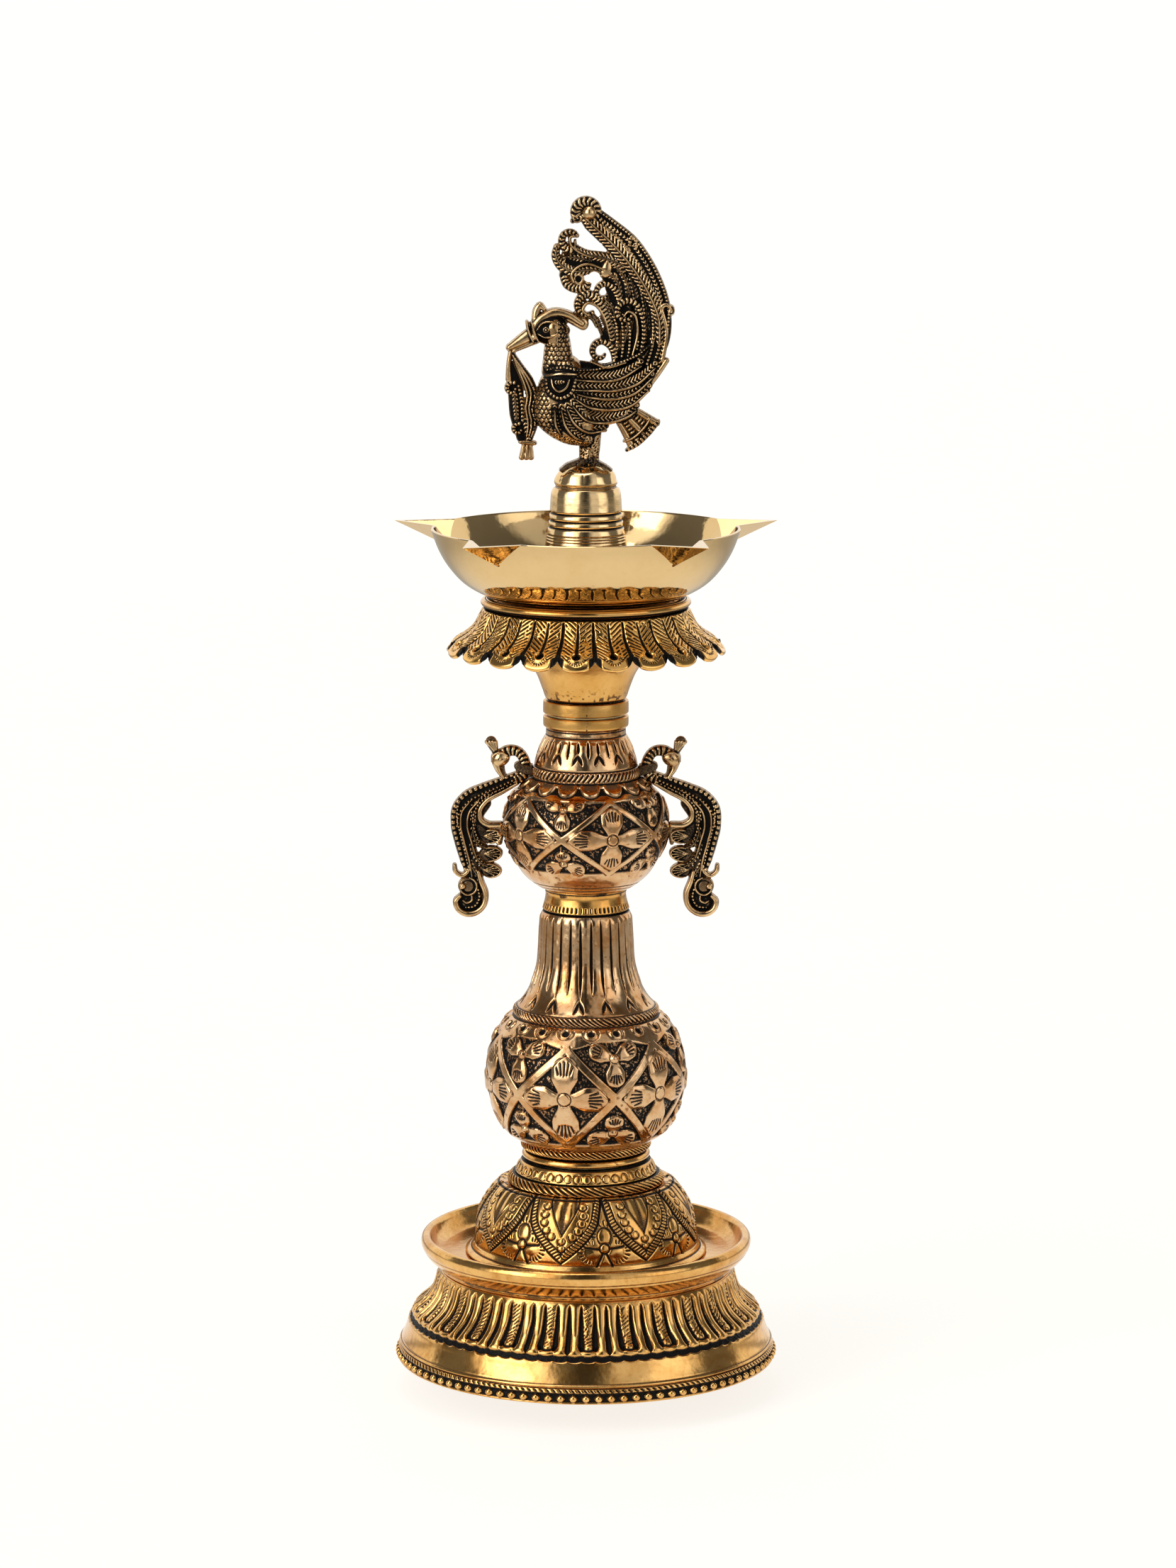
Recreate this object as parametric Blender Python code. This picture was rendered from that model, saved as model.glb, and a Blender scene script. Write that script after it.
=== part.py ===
"""Brass standing oil lamp (samai), in metres, +Z up, origin at the centre of the foot's resting face.

From the ground up: the base is a foot ring, a fluted bell, a drip tray and a dome; the stem is two vases
with a collar between them; the head is a five-spouted oil bowl over a scalloped skirt; the finial is a bird
on a turned cap. Plain rods in plain bores hold the pieces in line. The handles stand at -X and +X, one
spout points to +Y, and the bird faces -X.
"""

import math

import bmesh
import bpy
from mathutils import Matrix, Vector

# All dimensions below are in mm
MM = 0.001
GAP = 0.3  # clearance between stacked pieces
WASHER_THICKNESS = 0.6

# Rods and their bores
BASE_ROD_R = 6.0
HEAD_ROD_R = 5.0
BORE_CLEARANCE = 0.35
BASE_BORE_R = BASE_ROD_R + BORE_CLEARANCE
HEAD_BORE_R = HEAD_ROD_R + BORE_CLEARANCE
BASE_ROD_Z = (36.0, 108.0)
NIPPLE_Z = (185.0, 219.0)
HEAD_ROD_Z = (268.0, 366.0)
ROD_STEPS = 20
ROD_CHAMFER = 0.8
NUT_CHAMFER = 0.5
CUTTER_OVERRUN = 2.0  # how far a nut's cutter passes each face

# Bird's peg and its bore
PEG_R = 1.9
PEG_BORE_R = 2.5
PEG_Z = (386.0, 398.0)

# Heights of the faces that carry the next piece
FOOT_RING_TOP = 7.1
BELL_TOP = 40.0
TRAY_FLOOR = 47.0
TRAY_UNDERSIDE = 44.5
DOME_TOP = 78.2
ROPE_RING_TOP = 82.7
PEARL_RING_TOP = 88.5
STEM_WASHER_TOP = PEARL_RING_TOP + GAP + WASHER_THICKNESS
STEM_PLAIN_RING_TOP = 92.7
STEM_ROPE_RING_TOP = 97.3
LOWER_VASE_TOP = 199.2
COLLAR_TOP = 209.1
UPPER_VASE_TOP = 279.6
LOWER_COUPLING_TOP = 284.7
COUPLING_WASHER_TOP = LOWER_COUPLING_TOP + GAP + WASHER_THICKNESS
UPPER_COUPLING_TOP = 291.5
SKIRT_TOP = 332.0
BOWL_FLOOR = 337.4
FINIAL_WASHER_TOP = BOWL_FLOOR + GAP + WASHER_THICKNESS

# Mesh settings
SHARP_DEG = 35.0  # edges steeper than this stay sharp
MERGE_DISTANCE = 0.02
LEVEL_TOLERANCE = 1e-6  # metres, for telling level edges from upright ones
MEMBER_SIDES = 10  # facets round a handle or bird member
VOXEL = 0.7
HANDLE_KEPT_SHARE = 0.045  # share of the faces kept when thinning
BIRD_KEPT_SHARE = 0.036


# ---- Materials and objects ----


def metal(name, colour, roughness):
    material = bpy.data.materials.new(name)
    material.use_nodes = True
    shader = material.node_tree.nodes["Principled BSDF"]
    shader.inputs["Base Color"].default_value = (*colour, 1.0)
    shader.inputs["Metallic"].default_value = 1.0
    shader.inputs["Roughness"].default_value = roughness
    return material


def make_metals():
    """All the lamp's metals, by short name."""
    return {
        "polished": metal("polished_brass", colour=(0.83, 0.68, 0.40), roughness=0.12),
        "satin": metal("satin_brass", colour=(0.72, 0.54, 0.27), roughness=0.30),
        "antique": metal("antique_brass", colour=(0.50, 0.37, 0.18), roughness=0.42),
        "dark": metal("dark_antique_brass", colour=(0.33, 0.23, 0.11), roughness=0.48),
        "rose": metal("rose_bronze", colour=(0.56, 0.36, 0.22), roughness=0.36),
        "bright": metal("bright_yellow_brass", colour=(0.80, 0.58, 0.22), roughness=0.22),
        "plain": metal("plain_brass", colour=(0.66, 0.52, 0.28), roughness=0.40),
    }


def empty(name, parent=None):
    obj = bpy.data.objects.new(name, None)
    obj.empty_display_size = 0.03
    bpy.context.scene.collection.objects.link(obj)
    obj.parent = parent
    return obj


def add_object(name, mesh, material, parent):
    obj = bpy.data.objects.new(name, mesh)
    mesh.materials.append(material)
    bpy.context.scene.collection.objects.link(obj)
    obj.parent = parent
    return obj


def object_from_bmesh(name, form, material, parent):
    """Turn a bmesh into an object and free it."""
    mesh = bpy.data.meshes.new(name)
    form.to_mesh(mesh)
    form.free()
    return add_object(name, mesh, material, parent)


def soften(obj):
    obj.data.shade_smooth()
    obj.data.set_sharp_from_angle(angle=math.radians(SHARP_DEG))


# ---- Turned pieces, rods and nuts ----


def washer_section(outer, bore, low, high):
    return ((outer, high), (outer, low), (bore, low), (bore, high))


def turned(name, section, steps, material, parent):
    """A closed (radius, height) section swept round the axis with a Screw modifier."""
    mesh = bpy.data.meshes.new(name)
    count = len(section)
    points = [(radius * MM, 0.0, z * MM) for radius, z in section]
    mesh.from_pydata(points, [(i, (i + 1) % count) for i in range(count)], [])
    obj = add_object(name, mesh, material, parent)
    screw = obj.modifiers.new("turn", "SCREW")
    screw.axis = "Z"
    screw.angle = math.tau
    screw.steps = steps
    screw.render_steps = steps
    screw.use_merge_vertices = True
    screw.merge_threshold = MERGE_DISTANCE * MM
    screw.use_smooth_shade = True
    return obj


def lathe_grid(name, rows, steps, shape, material, parent):
    """A closed section swept round the axis; shape(row, step) gives (angle, radius, height)."""
    form = bmesh.new()
    rings = []
    for row in range(rows):
        ring = []
        for step in range(steps):
            angle, radius, z = shape(row, step)
            x = radius * MM * math.cos(angle)
            y = radius * MM * math.sin(angle)
            ring.append(form.verts.new((x, y, z * MM)))
        rings.append(ring)
    for row in range(rows):
        ring, following = rings[row], rings[(row + 1) % rows]
        for step in range(steps):
            after = (step + 1) % steps
            form.faces.new((ring[step], following[step], following[after], ring[after]))
    bmesh.ops.recalc_face_normals(form, faces=form.faces)
    obj = object_from_bmesh(name, form, material, parent)
    soften(obj)
    return obj


def rod(name, radius, low, high, material, parent, steps=ROD_STEPS, chamfer=ROD_CHAMFER):
    """An upright bar on the axis with chamfered ends."""
    form = bmesh.new()
    bmesh.ops.create_cone(
        form,
        cap_ends=True,
        cap_tris=False,
        segments=steps,
        radius1=radius * MM,
        radius2=radius * MM,
        depth=(high - low) * MM,
        matrix=Matrix.Translation((0.0, 0.0, (low + high) / 2 * MM)),
    )
    rims = [
        edge
        for edge in form.edges
        if abs(edge.verts[0].co.z - edge.verts[1].co.z) < LEVEL_TOLERANCE
    ]
    bmesh.ops.bevel(
        form, geom=rims, offset=chamfer * MM, segments=1, affect="EDGES", profile=0.5
    )
    obj = object_from_bmesh(name, form, material, parent)
    soften(obj)
    return obj


def nut(name, corner, low, high, bore, material, parent):
    """A six-sided nut, cut by its bore; corner is the radius to its corners."""
    body = rod(name, corner, low, high, material, parent, steps=6, chamfer=NUT_CHAMFER)
    cutter = rod(
        name + "_bore", bore, low - CUTTER_OVERRUN, high + CUTTER_OVERRUN, material, parent
    )
    cutter.hide_render = True
    cutter.display_type = "WIRE"
    cut = body.modifiers.new("bore", "BOOLEAN")
    cut.operation = "DIFFERENCE"
    cut.solver = "EXACT"
    cut.object = cutter
    return body


# ---- Fused figures ----


def add_blob(form, centre, radii, tilt_deg):
    """An ellipsoid centred in the XZ plane; a positive tilt raises its +X end."""
    place = (
        Matrix.Translation((centre[0] * MM, 0.0, centre[1] * MM))
        @ Matrix.Rotation(math.radians(-tilt_deg), 4, "Y")
        @ Matrix.Diagonal((radii[0] * MM, radii[1] * MM, radii[2] * MM, 1.0))
    )
    bmesh.ops.create_icosphere(form, subdivisions=3, radius=1.0, matrix=place)


def rounded(stations, rounds=2):
    """Chaikin corner cutting of a list of stations, keeping both ends."""
    for _ in range(rounds):
        cut = [stations[0]]
        for start, end in zip(stations[:-1], stations[1:]):
            cut.append(tuple(0.75 * p + 0.25 * q for p, q in zip(start, end)))
            cut.append(tuple(0.25 * p + 0.75 * q for p, q in zip(start, end)))
        cut.append(stations[-1])
        stations = cut
    return stations


def add_member(form, stations, half_thickness=None, side=1.0):
    """A tapered bar through (x, z, half width) stations in the XZ plane; side -1 mirrors it.

    half_thickness is measured along Y; without it the bar is round.
    """
    stations = rounded(stations)
    rings = []
    for i, (x, z, width) in enumerate(stations):
        x_before, z_before, _ = stations[max(i - 1, 0)]
        x_after, z_after, _ = stations[min(i + 1, len(stations) - 1)]
        along = Vector((x_after - x_before, 0.0, z_after - z_before)).normalized()
        across = Vector((along.z, 0.0, -along.x))
        # A flat bar grows thinner where it is narrow
        depth = width if half_thickness is None else min(half_thickness, 0.9 * width + 1.0)
        ring = []
        for k in range(MEMBER_SIDES):
            angle = math.tau * k / MEMBER_SIDES
            point = (
                Vector((x, 0.0, z))
                + across * (width * math.cos(angle))
                + Vector((0.0, depth * math.sin(angle), 0.0))
            )
            ring.append(form.verts.new((side * point.x * MM, point.y * MM, point.z * MM)))
        rings.append(ring)
    faces = []
    for ring, following in zip(rings[:-1], rings[1:]):
        for k in range(MEMBER_SIDES):
            after = (k + 1) % MEMBER_SIDES
            faces.append(
                form.faces.new((ring[k], following[k], following[after], ring[after]))
            )
    faces.append(form.faces.new(rings[0]))
    faces.append(form.faces.new(rings[-1][::-1]))
    bmesh.ops.recalc_face_normals(form, faces=faces)


def fused(name, form, kept_share, material, parent):
    """Overlapping solids remeshed into one skin and thinned out."""
    bmesh.ops.recalc_face_normals(form, faces=form.faces)
    obj = object_from_bmesh(name, form, material, parent)
    skin = obj.modifiers.new("fuse", "REMESH")
    skin.mode = "VOXEL"
    skin.voxel_size = VOXEL * MM
    skin.adaptivity = 0.0
    skin.use_smooth_shade = True
    thin = obj.modifiers.new("thin", "DECIMATE")
    thin.decimate_type = "COLLAPSE"
    thin.ratio = kept_share
    return obj


# ---- Base ----
# Every section in this script is (radius, height), from the top down the outer side and back
# up the inner side, unless noted.

FOOT_RING = (
    (80.9, FOOT_RING_TOP), (82.0, 6.2), (82.7, 4.6), (83.0, 2.4), (82.6, 0.0),
    (75.5, 0.0), (75.5, 5.0), (77.0, FOOT_RING_TOP),
)
BELL = (
    (63.7, BELL_TOP), (65.2, 35.0), (67.1, 30.0), (69.0, 26.8), (73.0, 23.0),
    (76.4, 19.5), (77.9, 16.8), (78.5, 13.9), (80.2, 10.6), (81.6, FOOT_RING_TOP + GAP),
    (77.4, FOOT_RING_TOP + GAP), (75.2, 12.6), (72.6, 19.0), (66.4, 26.0), (62.6, 34.0),
    (61.0, BELL_TOP),
)
BELL_FLUTES = 26
BELL_FLUTE_DEPTH = 1.0
BELL_FLUTE_ROWS = (1, 2, 3, 4, 5)  # the rows of BELL that are fluted
TRAY = (
    (69.8, 54.8), (71.3, 54.3), (72.2, 52.4), (71.6, 49.3), (69.8, 46.1),
    (66.3, 42.9), (64.3, 41.2), (63.6, BELL_TOP + GAP),
    (60.6, BELL_TOP + GAP), (60.6, TRAY_UNDERSIDE), (BASE_BORE_R, TRAY_UNDERSIDE),
    (BASE_BORE_R, TRAY_FLOOR), (62.8, TRAY_FLOOR), (65.6, 48.4), (67.5, 51.0), (68.4, 54.2),
)
DOME = (
    (37.2, DOME_TOP), (39.8, 76.4), (42.7, 73.0), (44.8, 70.0), (46.8, 65.5),
    (48.0, 61.0), (48.8, 56.0), (49.3, 51.6), (50.4, 49.4), (52.6, 48.4),
    (52.9, TRAY_FLOOR + GAP), (46.0, TRAY_FLOOR + GAP), (45.4, 56.0), (43.2, 66.0),
    (37.0, 75.2), (BASE_BORE_R, 75.2), (BASE_BORE_R, DOME_TOP),
)
RING_BORE_R = 14.0  # clears the base locknut
ROPE_RING = (
    (31.9, ROPE_RING_TOP), (33.3, 81.6), (34.0, 79.8), (33.7, DOME_TOP + GAP),
    (RING_BORE_R, DOME_TOP + GAP), (RING_BORE_R, ROPE_RING_TOP),
)
PEARL_RING = (
    (28.4, PEARL_RING_TOP), (29.4, 87.2), (30.6, 84.6), (31.0, ROPE_RING_TOP + GAP),
    (RING_BORE_R, ROPE_RING_TOP + GAP), (RING_BORE_R, PEARL_RING_TOP),
)
BASE_WASHER = washer_section(16.0, BASE_BORE_R, low=43.0, high=TRAY_UNDERSIDE - GAP)
BASE_NUT_CORNER_R = 11.5


def bell_shape(row, step):
    """The bell's point, with shallow flutes on its outer slope."""
    angle = math.tau * step / (2 * BELL_FLUTES)
    radius, z = BELL[row]
    if row in BELL_FLUTE_ROWS and step % 2:
        radius -= BELL_FLUTE_DEPTH
    return angle, radius, z


def build_base(metals, base):
    antique, plain = metals["antique"], metals["plain"]
    turned("bead_ring", FOOT_RING, 44, antique, base)
    lathe_grid("base_flare", len(BELL), 2 * BELL_FLUTES, bell_shape, antique, base)
    turned("drip_tray", TRAY, 40, antique, base)
    turned("base_dome", DOME, 34, antique, base)
    turned("base_rope_ring", ROPE_RING, 32, antique, base)
    turned("base_pearl_ring", PEARL_RING, 32, antique, base)
    rod("base_rod", BASE_ROD_R, *BASE_ROD_Z, plain, base)
    turned("base_washer", BASE_WASHER, 20, plain, base)
    nut("base_nut", BASE_NUT_CORNER_R, 37.0, 42.6, BASE_BORE_R, plain, base)
    nut("base_locknut", BASE_NUT_CORNER_R, DOME_TOP + GAP, 84.0, BASE_BORE_R, plain, base)


# ---- Stem ----

STEM_WASHER = washer_section(
    24.5, RING_BORE_R, low=PEARL_RING_TOP + GAP, high=STEM_WASHER_TOP
)
STEM_PLAIN_RING = (
    (27.0, STEM_PLAIN_RING_TOP), (27.7, 92.0), (27.9, 90.6), (27.3, STEM_WASHER_TOP + GAP),
    (BASE_BORE_R, STEM_WASHER_TOP + GAP), (BASE_BORE_R, STEM_PLAIN_RING_TOP),
)
STEM_ROPE_RING = (
    (27.0, STEM_ROPE_RING_TOP), (28.2, 96.2), (28.3, 94.8), (26.8, STEM_PLAIN_RING_TOP + GAP),
    (BASE_BORE_R, STEM_PLAIN_RING_TOP + GAP), (BASE_BORE_R, STEM_ROPE_RING_TOP),
)
LOWER_VASE = (
    (18.9, LOWER_VASE_TOP), (19.8, 196.8), (20.0, 193.6), (20.6, 185.0), (21.3, 175.0),
    (23.2, 168.0), (27.4, 160.4), (30.8, 156.6), (31.4, 154.2), (34.2, 152.0),
    (38.6, 146.5), (42.1, 138.6), (43.6, 130.0), (43.2, 121.0), (40.9, 112.0),
    (36.6, 103.4), (32.0, 99.6), (28.0, STEM_ROPE_RING_TOP + GAP),
    (BASE_BORE_R, STEM_ROPE_RING_TOP + GAP), (BASE_BORE_R, 106.5), (29.5, 106.5),
    (37.5, 114.0), (39.8, 124.0), (38.2, 137.0), (32.5, 148.0), (24.5, 158.0),
    (17.8, 172.0), (BASE_BORE_R, 180.0), (BASE_BORE_R, LOWER_VASE_TOP),
)
MID_COLLAR = (
    (18.2, COLLAR_TOP), (17.5, 206.6), (18.0, 203.0), (18.7, 200.6),
    (18.6, LOWER_VASE_TOP + GAP), (BASE_BORE_R, LOWER_VASE_TOP + GAP),
    (BASE_BORE_R, COLLAR_TOP),
)
UPPER_VASE = (
    (17.6, UPPER_VASE_TOP), (17.3, 277.8), (18.3, 274.6), (20.8, 269.0), (22.4, 262.0),
    (23.3, 257.6), (26.6, 254.2), (31.8, 250.4), (34.4, 245.2), (36.0, 238.0),
    (35.3, 231.5), (33.2, 225.8), (30.5, 219.6), (26.2, 214.0), (20.8, 210.2),
    (18.6, COLLAR_TOP + GAP), (BASE_BORE_R, COLLAR_TOP + GAP), (BASE_BORE_R, 221.0),
    (26.2, 221.0), (31.6, 232.0), (31.2, 241.0), (25.6, 249.4), (18.6, 256.0),
    (15.0, 266.0), (HEAD_BORE_R, 266.0), (HEAD_BORE_R, UPPER_VASE_TOP),
)
LOWER_COUPLING = (
    (17.6, LOWER_COUPLING_TOP), (18.4, 284.0), (18.4, 280.8), (17.7, UPPER_VASE_TOP + GAP),
    (HEAD_BORE_R, UPPER_VASE_TOP + GAP), (HEAD_BORE_R, LOWER_COUPLING_TOP),
)

# Handle members as (distance from the lamp's axis, height, half width) stations
HANDLE_HALF_THICKNESS = 4.2
HANDLE_MEMBERS = (
    # neck, from the head round the loop to the shoulder
    ((38.2, 266.4, 3.2), (34.6, 268.2, 3.0), (30.6, 268.2, 2.6), (27.2, 264.8, 2.3),
     (27.0, 260.6, 2.4), (30.4, 257.4, 2.2)),
    # back, from the shoulder out and down to the waist
    ((29.6, 257.0, 1.9), (36.0, 253.9, 2.2), (42.8, 251.2, 2.9), (49.6, 247.6, 3.3),
     (54.2, 242.6, 3.5), (55.2, 237.0, 3.0), (53.4, 229.6, 3.0), (51.0, 221.6, 3.2),
     (49.2, 214.6, 2.8)),
    # inner edge, from the shoulder round to the upper seat on the vase
    ((41.0, 250.4, 1.6), (45.4, 247.0, 1.8), (46.6, 241.2, 2.0), (44.0, 236.8, 2.2),
     (39.6, 235.4, 2.4), (37.3, 235.0, 1.2)),
    # three tail lobes, from the top down
    ((50.6, 240.0, 3.4), (47.4, 233.0, 4.2), (42.2, 231.6, 3.6), (38.9, 231.2, 2.3)),
    ((52.2, 232.0, 3.0), (47.6, 226.6, 3.6), (42.0, 223.6, 3.2), (38.2, 223.6, 2.8)),
    ((51.0, 226.0, 2.8), (46.6, 219.6, 3.2), (42.0, 215.8, 3.4), (39.4, 215.6, 2.6)),
    # lug between the neck and the vase
    ((28.0, 262.0, 2.6), (23.8, 261.2, 2.2)),
    # beak
    ((39.2, 266.6, 2.6), (38.4, 262.0, 1.7), (35.8, 258.2, 0.9)),
    # crest
    ((38.4, 267.6, 1.5), (40.0, 271.0, 1.4), (40.9, 273.6, 2.1)),
    # first curl
    ((50.6, 217.6, 1.2), (51.6, 214.4, 1.3), (54.0, 213.8, 1.4), (55.8, 216.4, 1.4)),
    # second curl and the short bar inside it
    ((49.4, 214.6, 1.8), (48.0, 209.0, 1.7), (50.2, 205.4, 1.8), (53.6, 206.2, 2.0),
     (55.2, 210.0, 2.0)),
    ((50.0, 211.0, 2.6), (52.4, 208.8, 2.2)),
    # bottom curl
    ((46.4, 213.0, 2.0), (45.4, 206.6, 1.8), (45.6, 201.0, 1.8), (48.4, 198.0, 1.9),
     (52.2, 197.6, 2.0), (55.4, 199.8, 2.0), (55.0, 203.6, 1.6)),
)


def build_handle(name, side, material, parent):
    form = bmesh.new()
    for stations in HANDLE_MEMBERS:
        add_member(form, stations, HANDLE_HALF_THICKNESS, side)
    fused(name, form, HANDLE_KEPT_SHARE, material, parent)


def build_stem(metals, stem):
    antique, rose, plain = metals["antique"], metals["rose"], metals["plain"]
    turned("stem_washer", STEM_WASHER, 24, plain, stem)
    turned("stem_plain_ring", STEM_PLAIN_RING, 32, antique, stem)
    turned("stem_rope_ring", STEM_ROPE_RING, 32, antique, stem)
    turned("lower_vase", LOWER_VASE, 30, rose, stem)
    turned("mid_collar", MID_COLLAR, 28, metals["bright"], stem)
    rod("vase_nipple", BASE_ROD_R, *NIPPLE_Z, plain, stem)
    turned("upper_vase", UPPER_VASE, 30, rose, stem)
    turned("lower_coupling_ring", LOWER_COUPLING, 32, metals["satin"], stem)
    build_handle("handle_left", -1.0, metals["dark"], stem)
    build_handle("handle_right", 1.0, metals["dark"], stem)


# ---- Head ----

COUPLING_WASHER = washer_section(
    17.0, HEAD_BORE_R + 1.0, low=LOWER_COUPLING_TOP + GAP, high=COUPLING_WASHER_TOP
)
UPPER_COUPLING = (
    (17.6, UPPER_COUPLING_TOP), (18.4, 290.7), (18.4, 286.7),
    (17.6, COUPLING_WASHER_TOP + GAP), (HEAD_BORE_R, COUPLING_WASHER_TOP + GAP),
    (HEAD_BORE_R, UPPER_COUPLING_TOP),
)
NECK_CONE = (
    (39.2, 333.6), (37.6, 326.0), (33.4, 318.6), (27.4, 311.4), (22.6, 305.4),
    (19.4, 298.4), (17.3, UPPER_COUPLING_TOP + GAP), (14.2, UPPER_COUPLING_TOP + GAP),
    (16.4, 299.0), (20.0, 306.6), (30.8, 319.6), (36.2, 333.6),
)
SKIRT_RING = (
    (43.0, 336.0), (44.4, 334.4), (44.8, 333.0), (44.2, SKIRT_TOP + GAP),
    (41.0, SKIRT_TOP + GAP), (40.6, 334.2),
)
SKIRT = (
    (43.9, SKIRT_TOP), (45.6, 328.9), (47.4, 325.6), (50.2, 322.2), (55.6, 318.0),
    (59.4, 313.4), (58.4, 312.8), (53.2, 316.6), (47.2, 321.2), (44.0, 326.2),
    (41.4, SKIRT_TOP),
)
SKIRT_LOBES = 20
SKIRT_EDGE_ROWS = (5, 6)  # the rows of SKIRT that make its lower edge
SCALLOP_RISE = 2.2
SCALLOP_INSET = 0.7 * SCALLOP_RISE

BOWL_RIM_Z = 366.0
BOWL_OUTER = (  # from the rim down
    (66.6, BOWL_RIM_Z), (65.2, 361.6), (63.2, 356.8), (60.8, 352.0), (57.4, 347.2),
    (53.2, 342.8), (48.2, 339.5), (42.6, 336.8), (37.0, 334.0), (HEAD_BORE_R, 334.0),
)
BOWL_INNER = (  # from the bore back up to the rim
    (HEAD_BORE_R, BOWL_FLOOR), (36.4, BOWL_FLOOR), (44.8, 341.0), (50.6, 344.2),
    (55.6, 348.6), (59.2, 353.4), (61.8, 358.0), (64.0, 362.4), (65.4, BOWL_RIM_Z),
)
SPOUTS = 5
SPOUT_PITCH_DEG = 360.0 / SPOUTS
SPOUT_FIRST_DEG = 90.0
SPOUT_REACH = 21.0  # from the round rim to the spout's tip
SPOUT_INNER_REACH = SPOUT_REACH - 1.6
SPOUT_HALF_DEG = 12.0  # half of the rim's arc that one spout takes
SPOUT_DEPTH = 10.5  # from the rim down to where the keel meets the wall
SPOUT_STEPS = 4  # facets across one spout
WALL_STEPS = 6  # facets between two spouts
PITCH_STEPS = SPOUT_STEPS + WALL_STEPS


def skirt_shape(row, step):
    """The skirt's point, its lower edge cut into lobes."""
    angle = math.tau * step / (2 * SKIRT_LOBES)
    radius, z = SKIRT[row]
    if row in SKIRT_EDGE_ROWS and step % 2:
        radius -= SCALLOP_INSET
        z += SCALLOP_RISE
    return angle, radius, z


def bowl_shape(row, step):
    """The bowl's point: a round wall drawn out into five pointed, keeled spouts."""
    spout, place = divmod(step, PITCH_STEPS)
    if place <= SPOUT_STEPS:
        offset = -SPOUT_HALF_DEG + 2 * SPOUT_HALF_DEG * place / SPOUT_STEPS
    else:
        wall_deg = SPOUT_PITCH_DEG - 2 * SPOUT_HALF_DEG
        offset = SPOUT_HALF_DEG + wall_deg * (place - SPOUT_STEPS) / WALL_STEPS
    angle = math.radians(SPOUT_FIRST_DEG + spout * SPOUT_PITCH_DEG + offset)
    if row < len(BOWL_OUTER):
        radius, z = BOWL_OUTER[row]
        reach = SPOUT_REACH
    else:
        radius, z = BOWL_INNER[row - len(BOWL_OUTER)]
        reach = SPOUT_INNER_REACH
    # The pull is full at the tip and fades to the spout's sides and down its keel
    share = max(0.0, 1.0 - abs(offset) / SPOUT_HALF_DEG)
    rise = max(0.0, 1.0 - (BOWL_RIM_Z - z) / SPOUT_DEPTH)
    return angle, radius + reach * share * rise, z


def build_head(metals, head):
    antique, satin, plain = metals["antique"], metals["satin"], metals["plain"]
    turned("coupling_washer", COUPLING_WASHER, 24, plain, head)
    turned("upper_coupling_ring", UPPER_COUPLING, 32, satin, head)
    turned("neck_cone", NECK_CONE, 32, satin, head)
    nut("neck_locknut", 9.2, UPPER_COUPLING_TOP + GAP, 296.4, HEAD_BORE_R, plain, head)
    rod("head_rod", HEAD_ROD_R, *HEAD_ROD_Z, plain, head)
    lathe_grid("feather_skirt", len(SKIRT), 2 * SKIRT_LOBES, skirt_shape, antique, head)
    turned("skirt_top_ring", SKIRT_RING, 36, antique, head)
    bowl_rows = len(BOWL_OUTER) + len(BOWL_INNER)
    lathe_grid(
        "oil_bowl", bowl_rows, SPOUTS * PITCH_STEPS, bowl_shape, metals["polished"], head
    )
    nut("bowl_nut", 9.6, 337.8, 343.4, HEAD_BORE_R, plain, head)


# ---- Finial ----

FINIAL_WASHER = washer_section(20.0, 15.6, low=BOWL_FLOOR + GAP, high=FINIAL_WASHER_TOP)
THIMBLE = (
    (8.6, 393.4), (11.6, 390.4), (13.4, 387.0), (13.9, 384.2), (13.3, 383.2),
    (14.7, 382.4), (15.3, 376.0), (15.9, 371.0), (17.5, 360.5), (18.8, 350.0),
    (20.6, 342.0), (20.8, FINIAL_WASHER_TOP + GAP), (15.8, FINIAL_WASHER_TOP + GAP),
    (12.8, 348.0), (11.0, 355.8), (HEAD_BORE_R, 356.0), (HEAD_BORE_R, 370.0),
    (PEG_BORE_R, 372.0), (PEG_BORE_R, 393.4),
)

# Bird's ellipsoids as (centre x and z, radii, tilt in degrees)
BIRD_BLOBS = (
    ((-5.0, 419.6), (19.5, 11.5, 13.6), -16.0),  # body
    ((-14.6, 421.0), (8.6, 9.6, 12.4), 8.0),  # chest
    ((8.0, 424.0), (13.0, 9.0, 9.6), 24.0),  # rump
    ((-15.2, 452.4), (9.2, 5.4, 6.2), -28.0),  # head
)

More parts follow.
